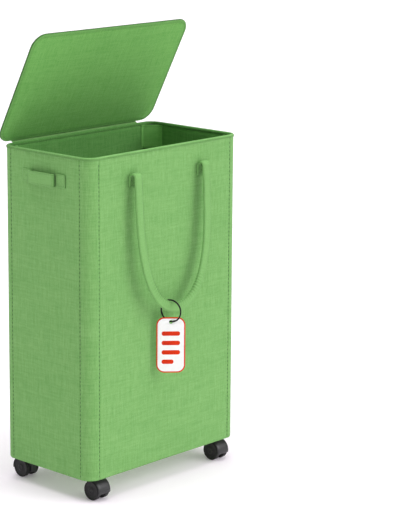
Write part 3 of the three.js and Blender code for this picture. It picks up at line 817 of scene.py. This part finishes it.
# ---------------- lid
HINGE = joint_point("lid_hinge")
LID_OPEN = math.radians(-joint("lid_hinge")["range_deg"][0])
LID_SETBACK = 2 * MM
LID_RISE = 3.5 * MM
LID_TOP = 8.3 * MM
LID_DEPTH = 235 * MM
LID_RADIUS = 28 * MM
TAB_WIDTH = 16 * MM
TAB_THICK = 1.6 * MM
TAB_STARTS, TAB_ENDS = 5 * MM, 19 * MM      # in from the lid's free edge
lid_place = Matrix.Translation((0, HINGE.y, HINGE.z)) @ Matrix.Rotation(-LID_OPEN, 4, "X")
lid_middle = (0, -LID_SETBACK - LID_DEPTH / 2)
lid_outline = Outline(high("lid_outer_cover").x, LID_DEPTH / 2, LID_RADIUS, lid_middle)


def put_on_lid(piece, slot, *nodes):
    """Takes a piece drawn on the closed lid, from the hinge line, to where the open lid stands."""
    piece.data.transform(lid_place)
    return place(piece, "lid", slot, *nodes)


def make_lid():
    """Cloth drawn over a board and turned in at the edge, with a sewn-in inner face."""
    roll = (LID_TOP - LID_RISE) / 2
    middle = (LID_TOP + LID_RISE) / 2
    lip = 3.4 * MM
    section = [(LID_RADIUS, LID_TOP - FABRIC), (8 * MM, LID_TOP - FABRIC)]
    section += edge_arc(roll, middle, roll - FABRIC, 90, -90)[:-1]
    section += [(lip - 0.2 * MM, LID_RISE + FABRIC), (lip + 0.1 * MM, LID_RISE + 0.5 * MM),
                (lip - 0.4 * MM, LID_RISE)]
    section += edge_arc(roll, middle, roll, -90, 90)
    section += [(6 * MM, LID_TOP), (12 * MM, LID_TOP), (LID_RADIUS, LID_TOP)]

    def drift(points):
        inside = np.clip((0.2 - np.abs(points[:, 0])) / 0.05, 0, 1)
        return 0.35 * MM * inside * ripple(points[:, 0] / 0.26, points[:, 1] / 0.21, 1.7)

    def outer_shade(inset, height):
        """Painted shade: the turned edge is darkened where it meets the sewn-in face and where it rounds
        over.
        """
        return 0.85 * bell(inset, 1.2 * MM) + 0.4 * bell(inset - lip, 0.8 * MM) * (height < middle)

    outer = rounded_plate("lid_cover", lid_outline, section, LINEN_EDGE, drift, outer_shade)
    repaint(outer, LINEN, lambda spot: spot.z > middle + 0.5 * roll)
    put_on_lid(outer, "outer_fabric", "lid_outer_cover")

    tuck = lip - 0.9 * MM
    face = LID_RISE - 0.1 * MM
    welt = 5.6 * MM                 # the stitched groove, in from the lid's edge
    steps = ((LID_RADIUS, 0), (10 * MM, 0), (6.5 * MM, 0.05), (welt, 0.45), (5 * MM, 0.15),
             (4.2 * MM, 0.05), (lip, 0.5), (tuck, 0.8), (tuck, 1), (LID_RADIUS, 1))
    section = [(inset, face + rise * MM) for inset, rise in steps]

    # Painted shade in the stitched groove and where the turned edge tucks under.
    def inner_shade(inset, height):
        return 0.35 * bell(inset - welt, 0.8 * MM) + 0.3 * bell(inset - lip, 0.5 * MM)

    inner = rounded_plate("lid_lining", lid_outline, section, LINEN_LID_PAINTED_SHADE, drift, inner_shade)
    put_on_lid(inner, "lining", "lid_inner_cover")
    frames = round_frames(lid_outline, 5.5 * MM, face + 0.35 * MM, out=-UP)
    put_on_lid(stitches("lid_stitches", frames, EDGE_SEWING), "outer_fabric")


def make_pull_tab():
    """A folded tab sewn on the lid near its free edge."""
    free = -LID_SETBACK - LID_DEPTH
    z = LID_TOP + 0.3 * MM + TAB_THICK / 2
    middle = (TAB_STARTS + TAB_ENDS) / 2
    path = flat_path([Vector((0, free + TAB_STARTS, z)), Vector((0, free + middle, z + 0.1 * MM)),
                      Vector((0, free + TAB_ENDS, z))], 3 * MM, (1, 0, 0))
    tab = band("pull_tab", path, TAB_WIDTH, TAB_THICK, STRAP_CLOTH, 7, 1 * MM, 2 * MM)
    put_on_lid(tab, "strap", "lid_pull_tab")
    corners, _ = path.box(2 * MM, 12 * MM, 5.6 * MM, math.copysign(TAB_THICK / 2, path.outs[0][2]))
    frames = box_frames(corners, UP, 2.6 * MM)
    put_on_lid(stitches("pull_tab_stitches", frames, TAB_SEWING), "strap")


def make_lid_hinge():
    """The cloth that joins the back wall to the lid's rear edge."""
    lowest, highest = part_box("lid_hinge_strip")
    strip_y, half = (lowest.y + highest.y) / 2, highest.x
    behind, over = -0.7 * MM, LID_TOP + 0.9 * MM
    on_lid = [lid_place @ Vector((0, y, z)) for y, z in
              ((behind, LID_RISE - 0.4 * MM), (behind, over), (-13 * MM, over))]
    wall = [Vector((0, strip_y, lowest.z)), Vector((0, strip_y, HINGE.z - 5 * MM))]
    path = flat_path(wall + on_lid, 2.2 * MM, (-1, 0, 0))
    strip = band("hinge_cloth", path, 2 * half, 1 * MM, LINEN, 60, 1.2 * MM, 3 * MM,
                 slack(0.25 * MM, 50 * MM, 45 * MM, 0.9))
    place(strip, None, "outer_fabric", "lid_hinge_strip")
    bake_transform(strip)

    def across(y, z, out):
        reach = half - 3 * MM
        return line_frames((-reach, y, z), (reach, y, z), out)

    y = strip_y + 0.5 * MM
    frames = [stitch for up in (3 * MM, 7 * MM) for stitch in across(y, lowest.z + up, (0, 1, 0))]
    place(stitches("hinge_wall_stitches", frames, EDGE_SEWING), BODY, "outer_fabric")
    frames = across(-10 * MM, LID_TOP + 1.4 * MM, UP)
    put_on_lid(stitches("hinge_lid_stitches", frames, EDGE_SEWING), "outer_fabric")


# ---------------- long strap handles
STRAP_WIDTH = 19 * MM
STRAP_THICK = 4 * MM
STRAP_X = 91 * MM
STRAP_DROP = 253 * MM
STRAP_FULLNESS = 3.5                # 2 is half an ellipse, and more fills the loop's corners
STRAP_LEAN = math.radians(3.2)
STRAP_WRINKLE = 6 * MM
STRAP_CRUMPLE = 1.7 * MM            # height of the wrinkles round the loop's corners
STRAP_CORNER = 62 * MM              # from the bottom of the loop to its corners
STRAP_HEM = 2 * MM
STRAP_BOX = (2 * MM, 13 * MM)       # the sewn box, up from the foot of the strap
STRAP_BOX_HALF = 6.6 * MM


def handle_path(side, sy):
    """Up from the sewn end, over the fold, down one leg, round the bottom and back the same way."""
    axis = joint_point(f"{side}_handle_fold")
    foot = low(f"{side}_handle_left_end").z
    wall = Vector((0, -sy, 0))
    down = Vector((0, sy * math.sin(STRAP_LEAN), -math.cos(STRAP_LEAN)))
    out = Vector((0, sy * math.cos(STRAP_LEAN), math.sin(STRAP_LEAN)))
    ring = abs(axis.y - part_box(f"{side}_handle_left_end")[0 if sy > 0 else 1].y) - STRAP_THICK / 2
    points, outs = [], []
    for i in range(12):
        points.append(Vector((-STRAP_X, axis.y, foot + (axis.z - foot) * i / 12)) + wall * ring)
        outs.append(wall)
    for i in range(16):
        angle = (math.pi - STRAP_LEAN) * i / 16
        outs.append(wall * math.cos(angle) + UP * math.sin(angle))
        points.append(Vector((-STRAP_X, axis.y, axis.z)) + outs[-1] * ring)
    for i in range(161):
        x = -STRAP_X * math.cos(math.pi / 2 * (i / 160) ** (STRAP_FULLNESS / 2))
        drop = STRAP_DROP * (1 - (x / STRAP_X) ** 2) ** (1 / STRAP_FULLNESS)
        points.append(Vector((x, axis.y, axis.z)) + out * ring + down * drop)
        outs.append(out)
    points += [Vector((-p.x, p.y, p.z)) for p in points[-2::-1]]
    outs += outs[-2::-1]
    return Path(points, outs), axis, foot, ring


def make_handle(side, sy):
    """A webbing strap that hangs in a loop from two folded ends sewn to the wall."""
    path, axis, foot, ring = handle_path(side, sy)
    half = path.length / 2

    def crumple(s, w):
        """From -1 to 1: the inner edge crumples where the flat strap turns the corner of its loop."""
        away = np.abs(s - half)
        window = bell(away - STRAP_CORNER, 34 * MM) + 0.55 * bell(away, 30 * MM)
        inner = np.clip(0.35 + sy * w / STRAP_WIDTH, 0, 1) ** 1.5
        return window * inner * np.sin(TURN * s / STRAP_WRINKLE + 1.3 * np.sin(s / (23 * MM)))

    def wrinkles(s, w):
        """Raised folds of the crumple, and a slow sway that stops where the tag's ring hangs."""
        clear = np.clip(np.abs(s - half) / (10 * MM), 0, 1)
        return STRAP_CRUMPLE * crumple(s, w) + 0.35 * MM * ripple(s / 0.16, w / 0.05, 0.2) * clear * 0.6

    # Painted shade in the valleys of the crumple.
    def painted_valley_shade(s, w):
        return 0.5 * np.clip(-crumple(s, w), 0, 1)

    strap = band(f"{side}_strap", path, STRAP_WIDTH, STRAP_THICK, STRAP_CLOTH, 11, 1.3 * MM, STRAP_HEM,
                 wrinkles, 0.03, painted_valley_shade)
    place(strap, None, "strap", f"{side}_handle", *(f"{side}_handle_{end}_end" for end in ENDS))
    inner = sy * (ring - STRAP_THICK / 2)
    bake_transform(strap)
    to_leg = axis.z - foot + math.pi * ring
    frames = path.frames(STRAP_WIDTH / 2 - STRAP_HEM, STRAP_THICK / 2 * SUNK, to_leg)
    place(stitches(f"{side}_strap_stitches", frames, STRAP_SEWING), f"{side}_handle", "strap")
    frames = []
    foot_z, head_z = (foot + rise for rise in STRAP_BOX)
    for sx in ENDS.values():
        left, right = (sx * STRAP_X + side * STRAP_BOX_HALF for side in (-1, 1))
        corners = [(x, axis.y - inner, z) for x, z in
                   ((left, foot_z), (right, foot_z), (right, head_z), (left, head_z))]
        frames += box_frames(corners, (0, sy, 0), 3 * MM)
    place(stitches(f"{side}_strap_box_stitches", frames, STRAP_END_SEWING), BODY, "strap")


# ---------------- side grips
GRIP_RAISED = 66 * MM
GRIP_RAMP = 5 * MM
GRIP_THICK = 2.5 * MM
GRIP_HEM = 2.2 * MM
GRIP_BOX = (2.2 * MM, 17.5 * MM)    # its sewn box, from each end


def make_grips():
    """A short band on each narrow wall, raised in the middle and folded under to its sewn ends."""
    for end, sx in ENDS.items():
        node = f"{end}_grip"
        lowest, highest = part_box(node)
        z = (lowest.z + highest.z) / 2
        width = highest.z - lowest.z
        flat = HALF_X + 0.3 * MM + GRIP_THICK / 2
        raised = max(abs(lowest.x), abs(highest.x)) - GRIP_THICK / 2
        under, over = GRIP_RAISED / 2 - 0.6 * GRIP_RAMP, GRIP_RAISED / 2 - 0.1 * GRIP_RAMP
        ys = (lowest.y, *(MIDDLE_Y + y for y in (-under, -over, over, under)), highest.y)
        xs = (flat, flat, raised, raised, flat, flat)
        corners = [Vector((sx * x, y, z)) for x, y in zip(xs, ys)]
        if sx > 0:
            corners.reverse()
        path = flat_path(corners, 1.6 * MM, UP)
        to_fold = over + 0.55 * (raised - flat)

        # Painted shadow at each fold where the raised band turns under to its flat end.
        def shade(s, w):
            return sum(0.75 * bell(s - path.length / 2 + side * to_fold, 3.2 * MM) for side in (1, -1))

        grip = band(node + "_band", path, width, GRIP_THICK, STRAP_CLOTH, 11, 1.5 * MM, GRIP_HEM,
                    slack(0.3 * MM, 70 * MM, 60 * MM, 1.1 + sx), 0.05, shade)
        place(grip, BODY, "strap", node)
        lift = math.copysign(GRIP_THICK / 2 * SUNK, path.outs[0][0] * sx)
        frames = path.frames(width / 2 - GRIP_HEM, lift, 20 * MM)
        for start, stop in (GRIP_BOX, [path.length - reach for reach in reversed(GRIP_BOX)]):
            frames += box_frames(*path.box(start, stop, width / 2 - 2.6 * MM, lift), 3.2 * MM)
        place(stitches(node + "_stitches", frames, GRIP_SEWING), BODY, "strap")


# ---------------- hang tag
RING_RADIUS = 20.5 * MM
RING_WIRE = 1.5 * MM
RING_TURN = math.radians(-76)
RING_SLEEVE = math.radians(200)     # where the sleeve that joins the wire's ends sits
CARD_TURN = math.radians(-44)
CARD_HALF = (27 * MM, 53 * MM)
CARD_CORNER = 15 * MM
CARD_THICK = 1.2 * MM
CARD_MARGIN = 9 * MM
CARD_HANG = 0.8 * MM
CARD_HOLE = 3.5 * MM
HOLE_SIDES = 28
CARD_SHARP = 50                     # degrees
CARD_BORDER = 2.5 * MM
# The printed bars in mm: across from the card's middle, down from its top, and half their width.
CARD_BARS = ((0, 31, 17), (0, 49, 17), (0, 67, 17), (-6, 85, 11))
BAR_HALF, BAR_CORNER = 4.2 * MM, 3.6 * MM


def make_ring():
    """A closed wire ring with the sleeve that joins its ends."""
    lowest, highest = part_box("tag_ring")
    centre = (lowest + highest) / 2
    along = Vector((math.cos(RING_TURN), math.sin(RING_TURN), 0))
    square = along.cross(UP)
    turns, sides = 96, 14
    rows = []
    for angle in (TURN * i / turns for i in range(turns)):
        way = along * math.cos(angle) + UP * math.sin(angle)
        r = RING_WIRE * (1.22 if abs(angle - RING_SLEEVE) < 0.13 else 1.0)
        rows.append([tuple(centre + way * (RING_RADIUS + r * math.cos(b)) + square * r * math.sin(b))
                     for b in (TURN * k / sides for k in range(sides))])
    girth, length = TURN * RING_WIRE, TURN * RING_RADIUS
    uv = stacked(np.arange(sides) / sides * girth, (np.arange(turns) / turns * length)[:, None])
    ring = grid("ring_wire", np.array(rows), uv, ENAMEL, girth, length)
    place(ring, "tag_ring", "ring_wire", "tag_ring")
    return centre


def make_card(ring_centre):
    """A card with rounded corners, a punched hole and a printed border, and plain printed bars.
    It is drawn in its own plane, x across, y up and z towards the viewer."""
    across = Vector((math.cos(CARD_TURN), math.sin(CARD_TURN), 0))
    turned = Matrix((across, UP, across.cross(UP))).transposed().to_4x4()
    hung = Matrix.Translation(ring_centre - UP * RING_RADIUS) @ turned

    middle = (0, CARD_MARGIN - CARD_HALF[1] - CARD_HANG)
    outline = Outline(*CARD_HALF, CARD_CORNER, middle)
    edge, bevel, half = 0.35 * MM, 0.25 * MM, CARD_THICK / 2
    section = np.array([(CARD_BORDER, -half), (edge, -half), (0.1 * MM, -half + bevel),
                        (0.1 * MM, half - bevel), (edge, half), (CARD_BORDER, half)])
    rim = outline.walls(outline.marks(8 * MM, 12), section[:, :1], section[:, 1])
    lip = 0.3 * MM
    r = np.array([CARD_HOLE + lip, CARD_HOLE, CARD_HOLE, CARD_HOLE + lip])[:, None]
    z = np.array([-half, -half + lip, half - lip, half])[:, None]
    angle = np.arange(HOLE_SIDES) * TURN / HOLE_SIDES
    hole = stacked(r * np.cos(angle), r * np.sin(angle) - CARD_HANG, z)
    parts = [lattice(wall, wall[..., :2], around=CLOSED) for wall in (rim, hole)]
    for row in (0, -1):
        loops = [[Vector(p) for p in wall[row]] for wall in (rim, hole)]
        triangles = [list(t) for t in tessellate_polygon(loops)]
        flat = np.array([tuple(v) for loop in loops for v in loop])
        parts.append((flat, triangles, np.array([flat[i, :2] for t in triangles for i in t])))
    card = finish_mesh("card", joined(*parts), CARD, sharp=CARD_SHARP)
    border = CARD_BORDER - 0.05 * MM
    repaint(card, PRINT, lambda spot: outline.inset(spot) < border and spot.z > -0.9 * half)
    card.data.transform(hung)
    place(card, "tag_card", "card", "tag_card")

    parts = []
    for x, down, half_width in CARD_BARS:
        y = middle[1] + CARD_HALF[1] - down * MM
        bar = Outline(half_width * MM, BAR_HALF, BAR_CORNER, (x * MM, y))
        insets, heights = ([0], [0], [0.1 * MM]), half + np.array((-0.05, 0.05, 0.07)) * MM
        wall = bar.walls(bar.marks(6 * MM, 6), np.array(insets), heights)
        parts.append(lattice(wall, wall[..., :2], around=CLOSED, caps=True))
    bars = finish_mesh("card_bars", joined(*parts), PRINT, sharp=CARD_SHARP)
    bars.data.transform(hung)
    place(bars, "tag_card", "card")


# ---------------- casters
TRAIL = 13.5 * MM
WHEEL_RADIUS = 18.5 * MM
WHEEL_WIDTH = 9.5 * MM
WHEEL_START = 6 * MM
HOOD_IN, HOOD_OUT = 19.5 * MM, 21 * MM
HOOD_HALF = WHEEL_START + WHEEL_WIDTH
HOOD_SWEEP = (math.radians(50), math.radians(192))
NECK_SIDES, WHEEL_SIDES = 40, 60
CASTER_SHARP = 40                   # degrees


def rounded_profile(corners, radius, steps=3):
    """A line through corners that are given in mm, with its inner corners eased."""
    return filleted([Vector((x * MM, y * MM, 0)) for x, y in corners], radius * MM, steps)


def lathe(profile, segments, shape=None):
    """A body turned about Z from a profile of radius and height that starts and ends on the axis or
    closes on itself. shape(angles, radii, heights) moves its points along the axis."""
    profile = np.array([tuple(p.xy) for p in profile])
    angles = (np.arange(segments) * TURN / segments)[None]
    radius, height = profile[:, :1], profile[:, 1:]
    raised = height + (shape(angles, radius, height) if shape else 0)
    points = stacked(radius * np.cos(angles), radius * np.sin(angles), raised)
    uv = stacked(angles * WHEEL_RADIUS, travel(profile)[:, None])
    return lattice(points, uv, around=TURN * WHEEL_RADIUS)


def wheel_mesh():
    """One wheel, its inner face at z = 0 and its outer face up: crowned tread, raised rim, dished
    face with five shallow pockets, and a hub cap."""
    r, w = WHEEL_RADIUS / MM, WHEEL_WIDTH / MM
    corners = ((0, w - 1.6), (2.3, w - 1.6), (2.3, 0.4), (5, 0.4), (6, 1.2), (r - 4, 1.2), (r - 3, 0),
               (r - 0.9, 0), (r - 0.05, 1.6), (r, w / 2), (r - 0.05, w - 1.6), (r - 0.9, w), (r - 2.6, w),
               (r - 3.2, w - 1), (r - 5, w - 1.3), (8.5, w - 1.5), (6.6, w - 1.1), (5.6, w - 0.2),
               (4.2, w - 0.05), (3.6, w - 0.35), (0, w - 0.3))

    def pockets(angles, radius, height):
        between = np.clip(np.cos(5 * angles) * 3 + 0.6, 0, 1)
        ring = np.clip(1.6 - np.abs(radius - 11.2 * MM) / (1.7 * MM), 0, 1)
        return np.where(height > WHEEL_WIDTH / 2, -0.7 * MM * between * ring, 0)

    return lathe(rounded_profile(corners, 0.7), WHEEL_SIDES, pockets)


def hood_mesh():
    """Fender over both wheels, a web between them and the neck round the swivel pin, in the
    caster's own frame: wheels trail towards -Y and z = 0 is the floor."""
    ease = 1.3 * MM
    side = [(-HOOD_HALF, HOOD_IN + 0.3 * MM), (-HOOD_HALF, HOOD_OUT - ease),
            (-HOOD_HALF + 0.4 * ease, HOOD_OUT - 0.4 * ease), (-HOOD_HALF + ease, HOOD_OUT)]
    crown = [(x * MM, HOOD_OUT + 0.25 * MM * (1 - (x / 14) ** 2)) for x in (-9, -4, 0, 4, 9)]
    under = [(x * MM, HOOD_IN) for x in (15.1, 8, 0, -8, -15.1)]
    section = np.array(side + crown + [(-x, r) for x, r in side[::-1]] + under)
    angles = np.linspace(*HOOD_SWEEP, 34)[:, None]
    taper = np.clip(np.minimum(angles - HOOD_SWEEP[0], HOOD_SWEEP[1] - angles) / 0.05, 0, 1)
    core = HOOD_IN + 0.75 * MM
    radius = core + (section[:, 1] - core) * (0.55 + 0.45 * np.sqrt(taper))
    y, z = radius * np.cos(angles) - TRAIL, radius * np.sin(angles) + WHEEL_RADIUS
    points = stacked(section[:, 0], y, z)
    fender = lattice(points, points[..., :2], around=CLOSED, caps=True)

    corners = ((8.5, 12), (8.5, 30), (-2, 37), (-20, 37.6), (-27, 30), (-24, 14), (-13.5, 9), (-2, 9),
               (8.4, 11.9))
    outline = np.array([p.xy for p in rounded_profile(corners, 4, 5)[:-1]])
    half, bevel = 5.2 * MM, 0.6 * MM
    centre = np.array((-10, 22)) * MM
    points = np.array([[(x, *spot) for spot in centre + (outline - centre) * scale] for x, scale in (
        (-half, 0.96), (bevel - half, 1), (half - bevel, 1), (half, 0.96))])
    web = lattice(points, points[..., 1:], around=CLOSED, caps=True)

    top = high("front_left_caster_hood").z / MM
    neck = ((3.3, 24), (7.4, 24), (7.6, top - 3), (9.4, top - 1.6), (9.4, top), (3.3, top), (3.3, 24))
    return joined(fender, web, lathe(rounded_profile(neck, 0.6), NECK_SIDES))


def stem_mesh():
    """Swivel pin, flange and stud as one turned pin."""
    lowest, highest = (corner.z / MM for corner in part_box("front_left_caster_stem"))
    flange = high("front_left_caster_hood").z / MM + 0.3
    corners = ((0, lowest), (3, lowest), (3, flange), (15, flange), (15, flange + 2.4),
               (4, flange + 2.4), (4, highest), (0, highest))
    return lathe(rounded_profile(corners, 0.5), NECK_SIDES)


def make_casters():
    """The same hood, stem and wheels at each corner, with the back casters facing the other way."""
    wheel, hood, stem = wheel_mesh(), hood_mesh(), stem_mesh()
    for name, _, sy in CORNERS:
        stem_low, stem_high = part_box(f"{name}_caster_stem")
        pivot = (stem_low + stem_high) / 2
        turn = Matrix.Rotation(math.pi if sy > 0 else 0, 4, "Z")
        caster = Matrix.Translation((pivot.x, pivot.y, 0)) @ turn
        made = {"hood": (hood, HOOD_PLASTIC, "caster_plastic", caster, f"{name}_caster"),
                "stem": (stem, STEEL, "caster_steel", caster, BODY)}
        for end, ex in ENDS.items():
            side = -ex * sy
            spot = Matrix.Translation((side * WHEEL_START, -TRAIL, WHEEL_RADIUS))
            face_out = Matrix.Rotation(side * math.pi / 2, 4, "Y")
            made[f"{end}_wheel"] = (wheel, TREAD, "wheel_plastic", caster @ spot @ face_out,
                                    f"{name}_caster_{end}_wheel")
        for part, (shape, look, slot, where, body) in made.items():
            piece = finish_mesh(f"{name}_{part}", shape, look, sharp=CASTER_SHARP)
            piece.data.transform(where)
            place(piece, body, slot, f"{name}_caster_{part}")


# ---------------- stage, lights and camera
FLOOR_SIZE = 60
WALL_RADIUS, WALL_HEIGHT, WALL_SUNK = 25, 5, 0.1
# Where each sun stands, its width in degrees and its power.
SUNS = {"key": ((0.8, -1.6, 1.1), 42, 1.5), "top": ((-0.1, 0.1, 2.0), 50, 1.8)}


def make_stage():
    """A pale floor, and a pale wall far round it that keeps a low view pale but lights nothing."""
    scene = bpy.context.scene
    bpy.ops.mesh.primitive_plane_add(size=FLOOR_SIZE)
    floor = bpy.context.object
    floor.name = "studio_floor"
    g = Graph("studio_floor")
    tone = g.mix(g.noise(0.6), (243, 233, 245), (246, 236, 248))
    glow = {"Emission Color": (1, 0.95, 1, 1), "Emission Strength": 0.15}
    floor.data.materials.append(g.surface(tone, 0.9, **glow))

    bpy.ops.mesh.primitive_cylinder_add(
        vertices=96, radius=WALL_RADIUS, depth=WALL_HEIGHT, end_fill_type="NOTHING",
        location=(0, 0, WALL_HEIGHT / 2 - WALL_SUNK))
    wall = bpy.context.object
    wall.name = "studio_wall"
    for ray in ("diffuse", "glossy", "transmission", "shadow"):
        setattr(wall, f"visible_{ray}", False)
    glow = {"Emission Color": (1, 1, 1, 1), "Emission Strength": 1}
    wall.data.materials.append(Graph("studio_wall").surface((0, 0, 0, 1), 1, specular=0, **glow))

    world = bpy.data.worlds.new("studio")
    world.use_nodes = True
    background = world.node_tree.nodes["Background"].inputs
    background["Color"].default_value = (0.95, 1, 0.92, 1)
    background["Strength"].default_value = 0.5
    scene.world = world
    scene.view_settings.view_transform = "Standard"

    for name, (spot, angle, power) in SUNS.items():
        light = bpy.data.lights.new(name, "SUN")
        light.angle = math.radians(angle)
        light.energy = power
        lamp = bpy.data.objects.new(name, light)
        lamp.rotation_euler = (-Vector(spot)).to_track_quat("-Z", "Y").to_euler()
        scene.collection.objects.link(lamp)


def make_camera():
    """A long lens at the left front corner, a little above the rim."""
    yaw, pitch = math.radians(45.575), math.radians(10.98)
    data = bpy.data.cameras.new("camera")
    data.lens = 141.222
    data.shift_x, data.shift_y = 0.16, -0.12
    data.clip_end = 100
    camera = bpy.data.objects.new("camera", data)
    camera.location = (-2.6548, -2.6031, 1.2579)
    camera.rotation_euler = (math.pi / 2 - pitch, 0, -yaw)
    bpy.context.scene.collection.objects.link(camera)
    bpy.context.scene.camera = camera


def dress_cad_nodes():
    """Procedural materials for the CAD's hard pieces. The last ending that fits a name counts."""
    looks = {"_board": BOARD, "base_board": PANEL_PLASTIC, "_support_rod": ROD_PLASTIC,
             "_caster_stem": STEEL, "_caster_axle": STEEL, "_caster_hood": HOOD_PLASTIC,
             "_wheel": TREAD, "tag_ring": ENAMEL, "tag_card": CARD}
    for name, node in frame["nodes"].items():
        for ending, look in looks.items():
            if name.endswith(ending):
                node.data.materials.clear()
                node.data.materials.append(look)


make_camera()
make_stage()
dress_cad_nodes()
make_outer_cover()
make_rim_binding()
make_lining()
make_rod_pockets()
make_floor_pad()
make_lid()
make_pull_tab()
make_lid_hinge()
for side, sy in SIDES.items():
    make_handle(side, sy)
make_grips()
make_card(make_ring())
make_casters()
